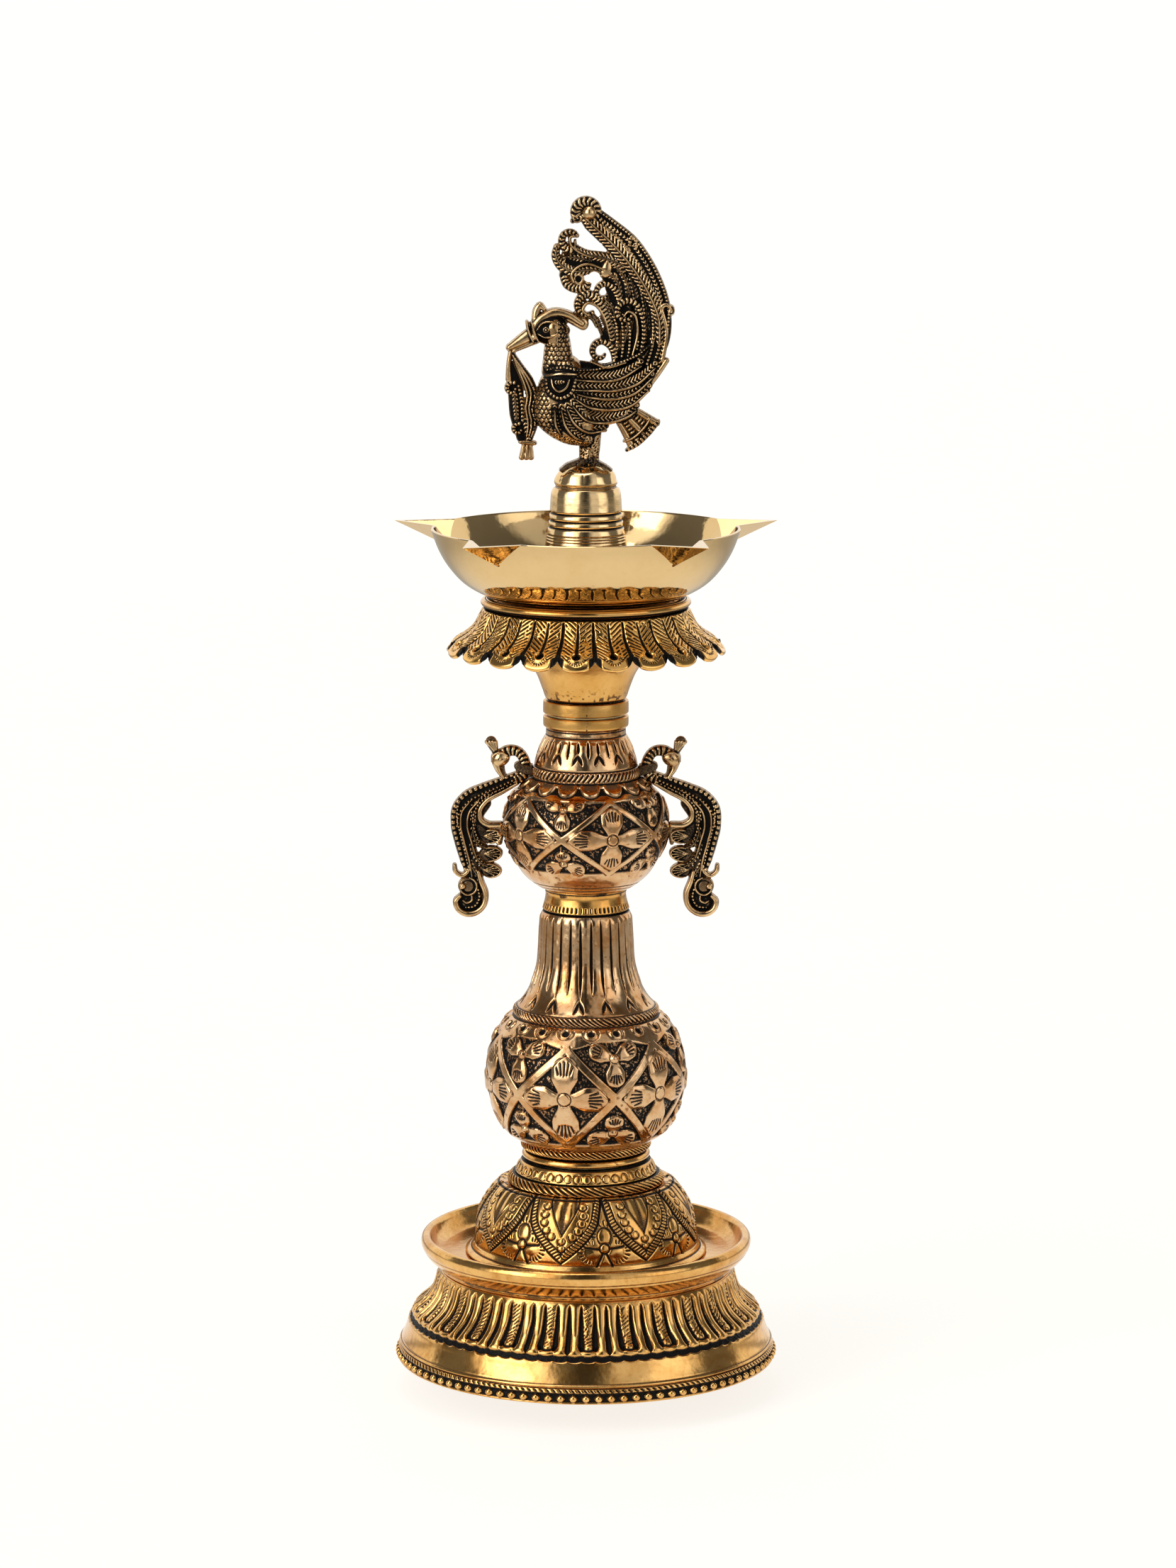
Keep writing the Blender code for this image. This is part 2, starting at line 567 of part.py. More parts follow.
# Bird's members as (x, z, half width) stations
BIRD_ROUND_MEMBERS = (
    # neck
    ((-10.6, 430.0, 8.6), (-11.4, 438.0, 7.6), (-11.4, 446.0, 5.6), (-13.4, 452.0, 5.0)),
    # beak
    ((-21.6, 450.8, 3.6), (-27.0, 447.2, 2.4), (-33.0, 443.8, 1.2)),
    # front crest and swept-back crest
    ((-21.6, 454.6, 1.6), (-22.6, 458.4, 1.5), (-20.6, 460.4, 1.9)),
    ((-18.0, 457.6, 2.4), (-11.0, 457.4, 2.6), (-6.0, 454.4, 2.4), (-2.4, 452.8, 2.0)),
    # two strands of the garland and its bell
    ((-32.2, 442.6, 1.4), (-31.6, 436.0, 2.8), (-31.6, 428.4, 4.6), (-29.6, 420.0, 3.2),
     (-27.4, 410.0, 3.6), (-25.8, 402.0, 2.4)),
    ((-31.0, 441.0, 1.6), (-26.6, 432.0, 2.4), (-24.4, 422.0, 2.8), (-24.2, 412.0, 2.2)),
    ((-25.6, 404.0, 2.8), (-25.4, 397.4, 4.0)),
    # leg, front claw and rear claw
    ((1.6, 408.0, 4.6), (1.6, 400.0, 3.4), (1.4, 395.0, 3.6)),
    ((1.0, 397.2, 2.6), (-5.0, 395.9, 1.6), (-8.4, 395.2, 0.9)),
    ((2.0, 397.0, 2.4), (6.0, 395.7, 1.4), (9.0, 395.1, 0.9)),
)
BIRD_FLAT_HALF_THICKNESS = 4.4
BIRD_FLAT_MEMBERS = (
    # wing and tail root, sweeping back and up
    ((-2.0, 430.0, 9.0), (8.0, 429.4, 9.6), (18.0, 433.0, 8.6), (25.0, 439.0, 5.0),
     (33.0, 438.2, 1.0)),
    # plume, from the root up to the top scroll, and the bar along its front
    ((20.0, 432.0, 8.0), (26.4, 443.0, 8.4), (27.0, 456.0, 8.0), (23.4, 470.0, 7.4),
     (16.4, 482.0, 6.4), (8.4, 492.6, 5.0), (1.6, 500.4, 4.6)),
    ((12.0, 440.0, 4.0), (15.6, 452.0, 4.8), (13.0, 464.0, 4.2), (11.0, 474.0, 4.0)),
    # top scroll
    ((-3.4, 496.0, 2.4), (-5.0, 501.0, 2.4), (-1.4, 505.4, 2.6), (3.6, 505.2, 2.6),
     (4.8, 500.6, 2.6), (0.6, 498.0, 3.0)),
    # upper leaf scroll in front of the plume, with two offshoots
    ((14.0, 480.0, 4.4), (4.0, 482.0, 3.4), (-6.0, 482.6, 3.2), (-11.4, 485.4, 2.2),
     (-10.0, 491.0, 2.2), (-5.4, 492.0, 2.0), (-3.6, 488.8, 1.6)),
    ((-7.0, 479.0, 2.6), (-11.6, 476.6, 2.4), (-13.8, 481.6, 1.4), (-12.8, 486.0, 1.2)),
    ((-9.6, 476.0, 2.6), (-5.8, 470.6, 2.6), (-0.4, 470.0, 2.2), (0.4, 474.6, 1.4)),
    # middle leaf scroll, with one offshoot
    ((12.0, 462.0, 3.0), (6.4, 466.0, 3.0), (-0.6, 468.0, 2.2), (-3.6, 462.6, 2.2),
     (-1.0, 457.8, 2.2), (3.6, 458.6, 1.6)),
    ((14.0, 470.0, 3.0), (8.0, 472.8, 1.6), (3.6, 470.6, 1.6), (5.6, 466.4, 2.4)),
    # lower leaf scroll
    ((11.4, 445.0, 2.4), (9.6, 440.0, 2.0), (4.4, 439.2, 1.6), (1.4, 443.4, 1.6),
     (4.6, 447.4, 1.6), (8.8, 446.0, 1.2)),
    # curls on the back of the plume
    ((20.0, 478.0, 2.0), (18.0, 484.6, 1.8), (15.6, 487.4, 1.6)),
    ((18.0, 483.6, 1.8), (21.0, 484.4, 1.2)),
    ((31.4, 446.0, 1.6), (32.4, 456.0, 1.6), (33.6, 461.4, 1.4), (36.0, 461.0, 1.2),
     (35.6, 457.4, 1.2)),
    # tail tassel
    ((12.6, 419.0, 2.4), (18.6, 415.0, 4.6), (23.4, 409.6, 7.6)),
)


def build_bird(material, parent):
    form = bmesh.new()
    for centre, radii, tilt_deg in BIRD_BLOBS:
        add_blob(form, centre, radii, tilt_deg)
    for stations in BIRD_ROUND_MEMBERS:
        add_member(form, stations)
    for stations in BIRD_FLAT_MEMBERS:
        add_member(form, stations, BIRD_FLAT_HALF_THICKNESS)
    peg_low, peg_high = PEG_Z
    add_member(form, ((0.0, peg_high, PEG_R), (0.0, peg_low, PEG_R)))
    fused("finial_bird", form, BIRD_KEPT_SHARE, material, parent)


def build_finial(metals, finial):
    turned("finial_washer", FINIAL_WASHER, 24, metals["plain"], finial)
    turned("finial_thimble", THIMBLE, 24, metals["polished"], finial)
    build_bird(metals["dark"], finial)


def build():
    for obj in list(bpy.data.objects):
        bpy.data.objects.remove(obj, do_unlink=True)
    bpy.context.scene.unit_settings.scale_length = 1.0

    metals = make_metals()
    lamp = empty("lamp")
    build_base(metals, empty("base_group", lamp))
    build_stem(metals, empty("stem_group", lamp))
    build_head(metals, empty("head_group", lamp))
    build_finial(metals, empty("finial_group", lamp))


build()
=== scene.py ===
"""A tall brass oil lamp: a fluted base, a stem of two carved vases with a bird-headed handle on
each side, a five-spouted oil bowl over a feathered skirt, and a bird finial on a turned cap.

The lamp stands on z = 0 with its axis on Z and its front facing -Y; the finial bird looks to -X.
Pieces are modelled in millimetres and scaled to metres when their meshes are made. Each carries an
"ink" attribute, 0 for bare brass to 1 for black patina, which the brass material reads.
"""

import math
from collections import namedtuple

import bpy
import mathutils
import numpy as np
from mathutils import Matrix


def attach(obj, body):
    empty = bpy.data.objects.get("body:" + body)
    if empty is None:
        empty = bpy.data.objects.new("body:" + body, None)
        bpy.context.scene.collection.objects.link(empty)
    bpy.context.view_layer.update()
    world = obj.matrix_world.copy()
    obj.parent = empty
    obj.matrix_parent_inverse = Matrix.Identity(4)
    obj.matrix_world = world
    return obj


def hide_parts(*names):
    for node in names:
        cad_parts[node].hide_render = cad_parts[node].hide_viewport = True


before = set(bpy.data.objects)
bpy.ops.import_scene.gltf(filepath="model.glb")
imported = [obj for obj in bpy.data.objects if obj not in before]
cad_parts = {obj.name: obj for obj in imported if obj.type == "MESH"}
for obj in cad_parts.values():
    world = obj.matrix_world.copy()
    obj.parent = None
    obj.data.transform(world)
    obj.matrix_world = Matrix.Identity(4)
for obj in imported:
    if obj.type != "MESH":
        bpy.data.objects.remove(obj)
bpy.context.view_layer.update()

MM = 0.001
TAU = math.tau

# ---------------------------------------------------------------- shaping functions


def smooth(x, low, high):
    """A soft step: 0 below low, 1 above high."""
    t = np.clip((x - low) / (high - low), 0.0, 1.0)
    return t * t * (3.0 - 2.0 * t)


def wrap(x, period):
    """Brings x into the range from -period/2 to period/2."""
    return (x + period / 2.0) % period - period / 2.0


def bell(x, width):
    return np.exp(-((x / width) ** 2))


def dome(x):
    """A round cap: 1 at x = 0, 0 from x = 1 outwards."""
    return np.sqrt(np.clip(1 - x**2, 0, 1))


def hatch(phase, half_width, soft):
    """Soft lines, one for each whole number of the phase."""
    return smooth(half_width - np.abs(wrap(phase, 1.0)), 0.0, soft)


def to_segment(x, y, start, end):
    """Distance from (x, y) to a segment, and the place along it from 0 to 1."""
    dx, dy = end[0] - start[0], end[1] - start[1]
    off_x, off_y = x - start[0], y - start[1]
    place = np.clip((off_x * dx + off_y * dy) / (dx * dx + dy * dy + 1e-12), 0.0, 1.0)
    return np.hypot(off_x - place * dx, off_y - place * dy), place


def run_length(points):
    """Distance along a run of points, from 0 at the first."""
    return np.concatenate([[0], np.cumsum(np.linalg.norm(np.diff(points, axis=0), axis=1))])


def catmull(points, step):
    """Points through a smooth curve (centripetal Catmull-Rom), about step apart."""
    points = np.asarray(points, float)
    if len(points) == 2:
        count = max(1, int(math.ceil(np.linalg.norm(points[1] - points[0]) / step)))
        t = np.linspace(0, 1, count + 1)[:, None]
        return points[0] * (1 - t) + points[1] * t
    padded = np.vstack([2 * points[0] - points[1], points, 2 * points[-1] - points[-2]])
    rows = []
    for before, start, end, after in zip(padded, padded[1:], padded[2:], padded[3:]):
        gap1, gap2, gap3 = (
            max(np.linalg.norm(gap) ** 0.5, 1e-4)
            for gap in (start - before, end - start, after - end)
        )
        chord = end - start
        pull1 = chord + gap2 * ((start - before) / gap1 - (end - before) / (gap1 + gap2))
        pull2 = chord + gap2 * ((after - end) / gap3 - (after - start) / (gap2 + gap3))
        count = max(1, int(math.ceil(np.linalg.norm(chord) / step)))
        t = (np.arange(count) / count)[:, None]
        rows.append(
            (2 * t**3 - 3 * t**2 + 1) * start
            + (t**3 - 2 * t**2 + t) * pull1
            + (-2 * t**3 + 3 * t**2) * end
            + (t**3 - t**2) * pull2
        )
    rows.append(points[-1:])
    return np.vstack(rows)


def gaussian_kernel(sigma, step, count):
    kernel = np.exp(-0.5 * (np.arange(-count, count + 1) * step / sigma) ** 2)
    return kernel / kernel.sum()


def faired(points, sigma):
    """Softens a run of points along its length, keeping both ends."""
    step = float(np.mean(np.linalg.norm(np.diff(points, axis=0), axis=1)))
    count = max(1, int(3 * sigma / step))
    kernel = gaussian_kernel(sigma, step, count)
    head = 2 * points[0] - points[count:0:-1]
    tail = 2 * points[-1] - points[-2 : -count - 2 : -1]
    padded = np.vstack([head, points, tail])
    columns = [np.convolve(padded[:, k], kernel, "valid") for k in range(points.shape[1])]
    return np.stack(columns, 1)


# ---------------------------------------------------------------- meshes

Finish = namedtuple("Finish", "material slot")


def new_mesh(name, verts, quads, ink, sharp=None):
    """A smooth quad mesh from points in millimetres. sharp is an edge angle in degrees."""
    mesh = bpy.data.meshes.new(name)
    verts = np.asarray(verts, np.float32)
    quads = np.asarray(quads, np.int32)
    count = len(quads)
    mesh.vertices.add(len(verts))
    mesh.vertices.foreach_set("co", (verts * MM).ravel())
    mesh.loops.add(count * 4)
    mesh.loops.foreach_set("vertex_index", quads.ravel())
    mesh.polygons.add(count)
    mesh.polygons.foreach_set("loop_start", np.arange(count, dtype=np.int32) * 4)
    mesh.polygons.foreach_set("loop_total", np.full(count, 4, np.int32))
    mesh.update(calc_edges=True)
    mesh.validate()
    attribute = mesh.attributes.new("ink", "FLOAT", "POINT")
    attribute.data.foreach_set("value", np.asarray(ink, np.float32).ravel())
    mesh.shade_smooth()
    if sharp:
        mesh.set_sharp_from_angle(angle=math.radians(sharp))
    return mesh


def add_piece(name, mesh, finish, body):
    """Adds a mesh in place of the CAD piece of the same name."""
    obj = bpy.data.objects.new(name, mesh)
    mesh.materials.append(finish.material)
    bpy.context.scene.collection.objects.link(obj)
    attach(obj, body)
    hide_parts(name)


def closed_quads(rows, columns):
    """Faces of a grid that closes on itself both ways."""
    i, j = np.meshgrid(np.arange(rows), np.arange(columns), indexing="ij")
    i2, j2 = (i + 1) % rows, (j + 1) % columns
    corners = [i * columns + j, i2 * columns + j, i2 * columns + j2, i * columns + j2]
    return np.stack(corners, -1).reshape(-1, 4)


# ---------------------------------------------------------------- turned surfaces


class Surface:
    """The outer side of a turned piece, rows running down it and columns round it.

    theta is the angle from the front (-Y) towards +X, and run the distance down the outline.
    A relief function fills in height, out along the normal, and ink.
    """

    def __init__(self, theta, outline):
        self.theta, self.radius = np.meshgrid(theta, outline[:, 0])
        self.z = np.meshgrid(theta, outline[:, 1])[1]
        self.run = np.meshgrid(theta, run_length(outline))[1]
        self.length = self.run[-1, 0]
        self.height = np.zeros_like(self.radius)
        self.ink = np.zeros_like(self.radius)

    def run_at(self, z):
        return float(np.interp(-z, -self.z[:, 0], self.run[:, 0]))

    def around(self, count, first=0.0):
        """Angle from the nearest of count evenly spaced places round the axis."""
        return wrap(self.theta - first, TAU / count)

    def add(self, height=0.0, ink=0.0):
        """Adds to the height, and keeps the darker ink."""
        self.height = self.height + height
        self.ink = np.maximum(self.ink, ink)

    def lines(self, *table):
        """Turned lines. Each entry is height up the lamp, width, depth, ink."""
        for z, width, depth, ink in table:
            off = self.run - self.run_at(z)
            self.add(-depth * bell(off, width), ink * bell(off, width * 1.1))

    def noise(self, cells, size, seed):
        """Smooth value noise from 0 to 1: cells round the axis, size mm along the run."""
        across = (self.theta / TAU * cells) % cells
        down = self.run / size
        table = np.random.default_rng(seed).random((int(np.max(down)) + 5, cells))
        column, row = np.floor(across).astype(int), np.floor(down).astype(int)
        tu, tv = across - column, down - row
        tu, tv = tu * tu * (3 - 2 * tu), tv * tv * (3 - 2 * tv)
        column, following = column % cells, (column + 1) % cells
        upper = table[row, column] * (1 - tu) + table[row, following] * tu
        lower = table[row + 1, column] * (1 - tu) + table[row + 1, following] * tu
        return upper * (1 - tv) + lower * tv

    def waver(self, amount, cells, size, seed):
        """Uneven height, amount mm from lowest to highest."""
        self.add(amount * (self.noise(cells, size, seed) - 0.5))

    def stipple(self, cells, size, seed):
        coarse = self.noise(cells, size, seed)
        return 0.6 * coarse + 0.4 * self.noise(int(cells * 1.7), size * 0.6, seed + 7)

    def rope(self, count, start, end, slant, depth, jitter, seed, ink=1.0):
        """Slanted cuts of a rope ring between two places on the run."""
        off = (self.run - (start + end) / 2) / ((end - start) / 2)
        uneven = (self.noise(cells=count // 3, size=3.0, seed=seed) - 0.5) * jitter * 2
        phase = self.theta / TAU * count + off * slant + uneven
        inside = smooth(1.02 - np.abs(off), 0.0, 0.22)
        cut = hatch(phase, 0.30, 0.13) * inside
        strand = -0.27 * depth * (1 - off * off) * inside * np.cos(TAU * wrap(phase, 1.0))
        self.add(strand - depth * 1.2 * cut, cut * ink)


def lathe(name, finish, body, columns, outline, back, relief, sharp=None, fair=0.0, warp=None):
    """A turned closed shell.

    outline holds (step, points) curves running down the outer side, and back runs up the inner
    side; all points are (radius, z). warp(theta, radius, z) moves the finished rows.
    """
    curves = []
    for step, points in outline:
        curve = catmull(points, step)
        if fair:
            curve = faired(curve, fair)
        curves.append(curve[1:] if curves else curve)
    outer = np.vstack(curves)
    tangent = np.gradient(outer, axis=0)
    tangent /= np.maximum(np.linalg.norm(tangent, axis=1), 1e-9)[:, None]
    normal = np.stack([-tangent[:, 1], tangent[:, 0]], 1)  # out, as the curve runs down

    theta = np.arange(columns) / columns * TAU
    surface = Surface(theta, outer)
    relief(surface)
    run = surface.run
    fade = np.minimum(smooth(run, 0, 0.4), smooth(surface.length - run, 0, 0.4))
    lift = surface.height * fade

    inner = np.asarray(back, float)
    inner_r = np.repeat(inner[:, :1], columns, 1)
    inner_z = np.repeat(inner[:, 1:], columns, 1)
    radius = np.vstack([surface.radius + normal[:, :1] * lift, inner_r])
    z = np.vstack([surface.z + normal[:, 1:] * lift, inner_z])
    ink = np.vstack([surface.ink, np.full_like(inner_r, 0.2)])
    theta = np.tile(theta, (len(radius), 1))
    if warp:
        radius, z = warp(theta, radius, z)
    verts = np.stack([radius * np.sin(theta), -radius * np.cos(theta), z], -1)
    quads = closed_quads(len(radius), columns)
    add_piece(name, new_mesh(name, verts.reshape(-1, 3), quads, ink, sharp), finish, body)


# ---------------------------------------------------------------- brass materials


class Graph:
    """Short ways to add shader nodes. A value may be a number, a colour or a socket."""

    def __init__(self, tree):
        self.tree = tree
        tree.nodes.clear()

    def node(self, kind):
        return self.tree.nodes.new("ShaderNode" + kind)

    def link(self, output, socket):
        self.tree.links.new(output, socket)

    def feed(self, socket, value):
        if isinstance(value, (int, float)):
            socket.default_value = value
        elif isinstance(value, tuple):
            socket.default_value = (*value, 1.0)
        else:
            self.link(value, socket)

    def math(self, operation, first, second, clamp=False):
        node = self.node("Math")
        node.operation = operation
        node.use_clamp = clamp
        self.feed(node.inputs[0], first)
        self.feed(node.inputs[1], second)
        return node.outputs[0]

    def mix(self, factor, first, second, blend="MIX"):
        node = self.node("Mix")
        node.data_type = "RGBA"
        node.blend_type = blend
        for index, value in ((0, factor), (6, first), (7, second)):
            self.feed(node.inputs[index], value)
        return node.outputs[2]

    def noise(self, coordinates, scale, detail, roughness, distortion=0.0):
        node = self.node("TexNoise")
        node.inputs["Scale"].default_value = scale
        node.inputs["Detail"].default_value = detail
        node.inputs["Roughness"].default_value = roughness
        node.inputs["Distortion"].default_value = distortion
        self.link(coordinates, node.inputs["Vector"])
        return node.outputs["Fac"]

    def ramp(self, value, low, high, at_low=0.0, at_high=1.0):
        """A soft step from at_low to at_high as value goes from low to high."""
        node = self.node("MapRange")
        node.interpolation_type = "SMOOTHSTEP"
        node.clamp = True
        self.link(value, node.inputs["Value"])
        node.inputs["From Min"].default_value = low
        node.inputs["From Max"].default_value = high
        node.inputs["To Min"].default_value = at_low
        node.inputs["To Max"].default_value = at_high
        return node.outputs["Result"]


def new_material(name):
    material = bpy.data.materials.new(name)
    material.use_nodes = True
    return material, Graph(material.node_tree)


def brass(
    name,
    base,
    deep,
    roughness,
    dark=(0.007, 0.006, 0.005),
    blotch=0.35,
    grime=0.25,
    turned=0.0,
    wobble=0.25,
    fine=0.15,
    ink_gain=1.0,
    gloss_spread=0.05,
):
    """Brass over black patina, laid where the mesh's ink attribute says.

    base, deep, dark  colours of the brass, of its blotches and of the patina
    blotch, grime     strength of the blotches and of the tarnish specks
    turned, wobble, fine  height of the turning lines, the slow waver and the grain
    gloss_spread      how far the roughness varies
    """
    material, graph = new_material(name)
    calc, ramp = graph.math, graph.ramp
    output = graph.node("OutputMaterial")
    shader = graph.node("BsdfPrincipled")
    graph.link(shader.outputs[0], output.inputs[0])
    texture = graph.node("TexCoord")
    mapping = graph.node("Mapping")
    mapping.inputs["Scale"].default_value = (1000.0, 1000.0, 1000.0)  # to millimetres
    graph.link(texture.outputs["Object"], mapping.inputs["Vector"])
    place = mapping.outputs[0]
    big = graph.noise(place, scale=0.06, detail=4.0, roughness=0.6, distortion=0.6)
    middle = graph.noise(place, scale=0.35, detail=5.0, roughness=0.62, distortion=0.4)
    small = graph.noise(place, scale=1.7, detail=3.0, roughness=0.6)
    tiny = graph.noise(place, scale=5.0, detail=2.0, roughness=0.5)

    # brass with deeper blotches and brown tarnish specks
    tone = calc("MULTIPLY", ramp(big, 0.35, 0.68), blotch)
    finer_tone = calc("MULTIPLY", ramp(middle, 0.45, 0.75), blotch * 0.6)
    tone = calc("ADD", tone, finer_tone, clamp=True)
    colour = graph.mix(tone, base, deep)
    speck = calc("MULTIPLY", ramp(small, 0.62, 0.78), ramp(middle, 0.42, 0.62, at_high=grime))
    colour = graph.mix(speck, colour, (0.10, 0.052, 0.022))

    # patina with a ragged edge, brown before it is black
    ink = graph.node("Attribute")
    ink.attribute_name = "ink"
    ragged = calc("MULTIPLY", calc("SUBTRACT", small, 0.5), 0.5)
    inked = calc("ADD", calc("MULTIPLY", ink.outputs["Fac"], ink_gain), ragged)
    black = ramp(inked, 0.28, 0.72)
    brown = ramp(inked, 0.12, 0.45, at_high=0.65)
    colour = graph.mix(brown, colour, (deep[0] * 0.42, deep[1] * 0.34, deep[2] * 0.28))
    colour = graph.mix(black, colour, dark)
    graph.link(colour, shader.inputs["Base Color"])
    metallic = calc("SUBTRACT", 1.0, calc("MULTIPLY", black, 0.92))
    graph.link(metallic, shader.inputs["Metallic"])
    specular = calc("SUBTRACT", 0.5, calc("MULTIPLY", black, 0.42))
    graph.link(specular, shader.inputs["Specular IOR Level"])

    # roughness: uneven polish, duller in specks and patina
    uneven = calc("MULTIPLY", calc("SUBTRACT", middle, 0.45), gloss_spread * 3.0)
    rough = calc("ADD", roughness, uneven)
    rough = calc("ADD", rough, calc("MULTIPLY", speck, 0.35))
    rough = calc("ADD", rough, calc("MULTIPLY", black, 0.28), clamp=True)
    rough = calc("MAXIMUM", rough, 0.035)
    graph.link(rough, shader.inputs["Roughness"])

    # bump in millimetres: slow waver, grain and turning lines
    slow = graph.noise(place, scale=0.16, detail=2.0, roughness=0.5)
    height = calc("MULTIPLY", slow, wobble)
    height = calc("ADD", height, calc("MULTIPLY", tiny, fine * 0.06))
    if turned:
        split = graph.node("SeparateXYZ")
        graph.link(place, split.inputs[0])
        stretched = graph.node("CombineXYZ")
        graph.link(calc("MULTIPLY", split.outputs[2], 2.6), stretched.inputs[2])
        graph.link(calc("MULTIPLY", split.outputs[0], 0.012), stretched.inputs[0])
        lines = graph.noise(stretched.outputs[0], scale=1.0, detail=4.0, roughness=0.75)
        height = calc("ADD", height, calc("MULTIPLY", lines, turned * 0.05))
    bump = graph.node("Bump")
    bump.inputs["Strength"].default_value = 1.0
    bump.inputs["Distance"].default_value = MM
    graph.link(height, bump.inputs["Height"])
    graph.link(bump.outputs[0], shader.inputs["Normal"])
    return material


POLISHED = Finish(
    brass(
        "polished_brass", base=(0.74, 0.52, 0.25), deep=(0.68, 0.43, 0.17), roughness=0.07,
        blotch=0.25, grime=0.10, wobble=0.10, fine=0.05, gloss_spread=0.02,
    ),
    "polished",
)
THIMBLE = Finish(
    brass(
        "thimble_brass", base=(0.88, 0.63, 0.33), deep=(0.68, 0.41, 0.14), roughness=0.08,
        blotch=0.35, grime=0.30, turned=0.5, wobble=0.15, fine=0.1, gloss_spread=0.03,
    ),
    "polished",
)
SATIN = Finish(
    brass(
        "satin_brass", base=(0.76, 0.43, 0.13), deep=(0.64, 0.31, 0.06), roughness=0.22,
        blotch=0.55, grime=0.35, turned=0.8, wobble=0.2, fine=0.3,
    ),
    "satin",
)
ANTIQUE = Finish(
    brass(
        "antique_brass", base=(0.82, 0.48, 0.16), deep=(0.56, 0.25, 0.05), roughness=0.11,
        blotch=0.65, grime=0.45, wobble=0.17, fine=0.25,
    ),
    "antique",
)
# the skirt's antique brass: its base is paler than the antique brass, partly the skirt's own
# warmer colour and partly painted highlight for the bright reflections on its feathers
SKIRT = Finish(
    brass(
        "skirt_brass", base=(0.96, 0.57, 0.18), deep=(0.62, 0.29, 0.06), roughness=0.08,
        blotch=0.5, grime=0.35, wobble=0.10, fine=0.15, ink_gain=1.15,
    ),
    "antique",
)
ROSE = Finish(
    brass(
        "rose_bronze", base=(0.74, 0.49, 0.27), deep=(0.54, 0.25, 0.08), roughness=0.10,
        blotch=0.8, grime=0.40, wobble=0.26, fine=0.25,
    ),
    "rose",
)
BRIGHT = Finish(
    brass(
        "bright_brass", base=(0.80, 0.43, 0.12), deep=(0.56, 0.25, 0.05), roughness=0.12,
        blotch=0.6, grime=0.7, turned=0.6, wobble=0.3, fine=0.3,
    ),
    "bright",
)
DARK = Finish(
    brass(
        "dark_antique_brass", base=(0.82, 0.56, 0.29), deep=(0.36, 0.20, 0.08), roughness=0.16,
        dark=(0.004, 0.0036, 0.003), blotch=0.7, grime=0.6, wobble=0.25, fine=0.3, ink_gain=1.15,
    ),
    "dark_antique",
)
PLAIN_BRASS = brass(
    "plain_brass", base=(0.62, 0.46, 0.22), deep=(0.50, 0.33, 0.13), roughness=0.30,
    blotch=0.4, grime=0.3, turned=0.8, wobble=0.1, fine=0.3,
)

# ---------------------------------------------------------------- bead ring, foot of the base

BEADS = 95
BEAD_RADIUS = 1.85
BEAD_PATH = 82.8  # radius of the circle the beads lie on
BEAD_Z = 2.62


def bead_ring_relief(surface):
    """A channel of beads under a row of slanted notches."""
    z = surface.z
    above = z - BEAD_Z
    distance = np.hypot(surface.around(BEADS) * BEAD_PATH, above * 1.04)
    channel = smooth(2.02 - np.abs(above), -0.15, 0.30)
    surface.add(
        -1.25 * channel + 1.75 * dome(distance / BEAD_RADIUS),
        channel * (1.0 - smooth(BEAD_RADIUS - distance, -0.10, 0.28)),
    )
    notch = hatch(surface.theta / TAU * 190.0 + (z - 5.7) * 0.35, 0.26, 0.13)
    notch = notch * smooth(0.75 - np.abs(z - 5.8), 0.0, 0.3)
    surface.add(-0.32 * notch, 0.9 * notch)
    surface.lines((4.85, 0.22, 0.35, 0.95), (6.85, 0.30, 0.45, 0.95))
    rubbed = surface.noise(cells=60, size=2.0, seed=5)
    surface.add(ink=smooth(rubbed, 0.78, 0.9) * 0.35 * (z > 4.4))


lathe(
    "bead_ring", ANTIQUE, "base", columns=1330, relief=bead_ring_relief,
    outline=[
        (0.30, [
            (78.6, 7.25), (81, 7.2), (81.7, 6.8), (82.3, 5.7), (82.8, 4.5), (83.2, 3.2),
            (83.3, 2.1), (83.1, 1), (82.4, 0.15), (81.6, 0),
        ]),
        (0.30, [(81.6, 0), (75.7, 0)]),
    ],
    back=[(75.6, 0.3), (75.6, 5), (77, 7)],
)

# ---------------------------------------------------------------- flare of the base

TONGUE_GROUPS = 26
FIRST_TONGUE = math.radians(0.8)


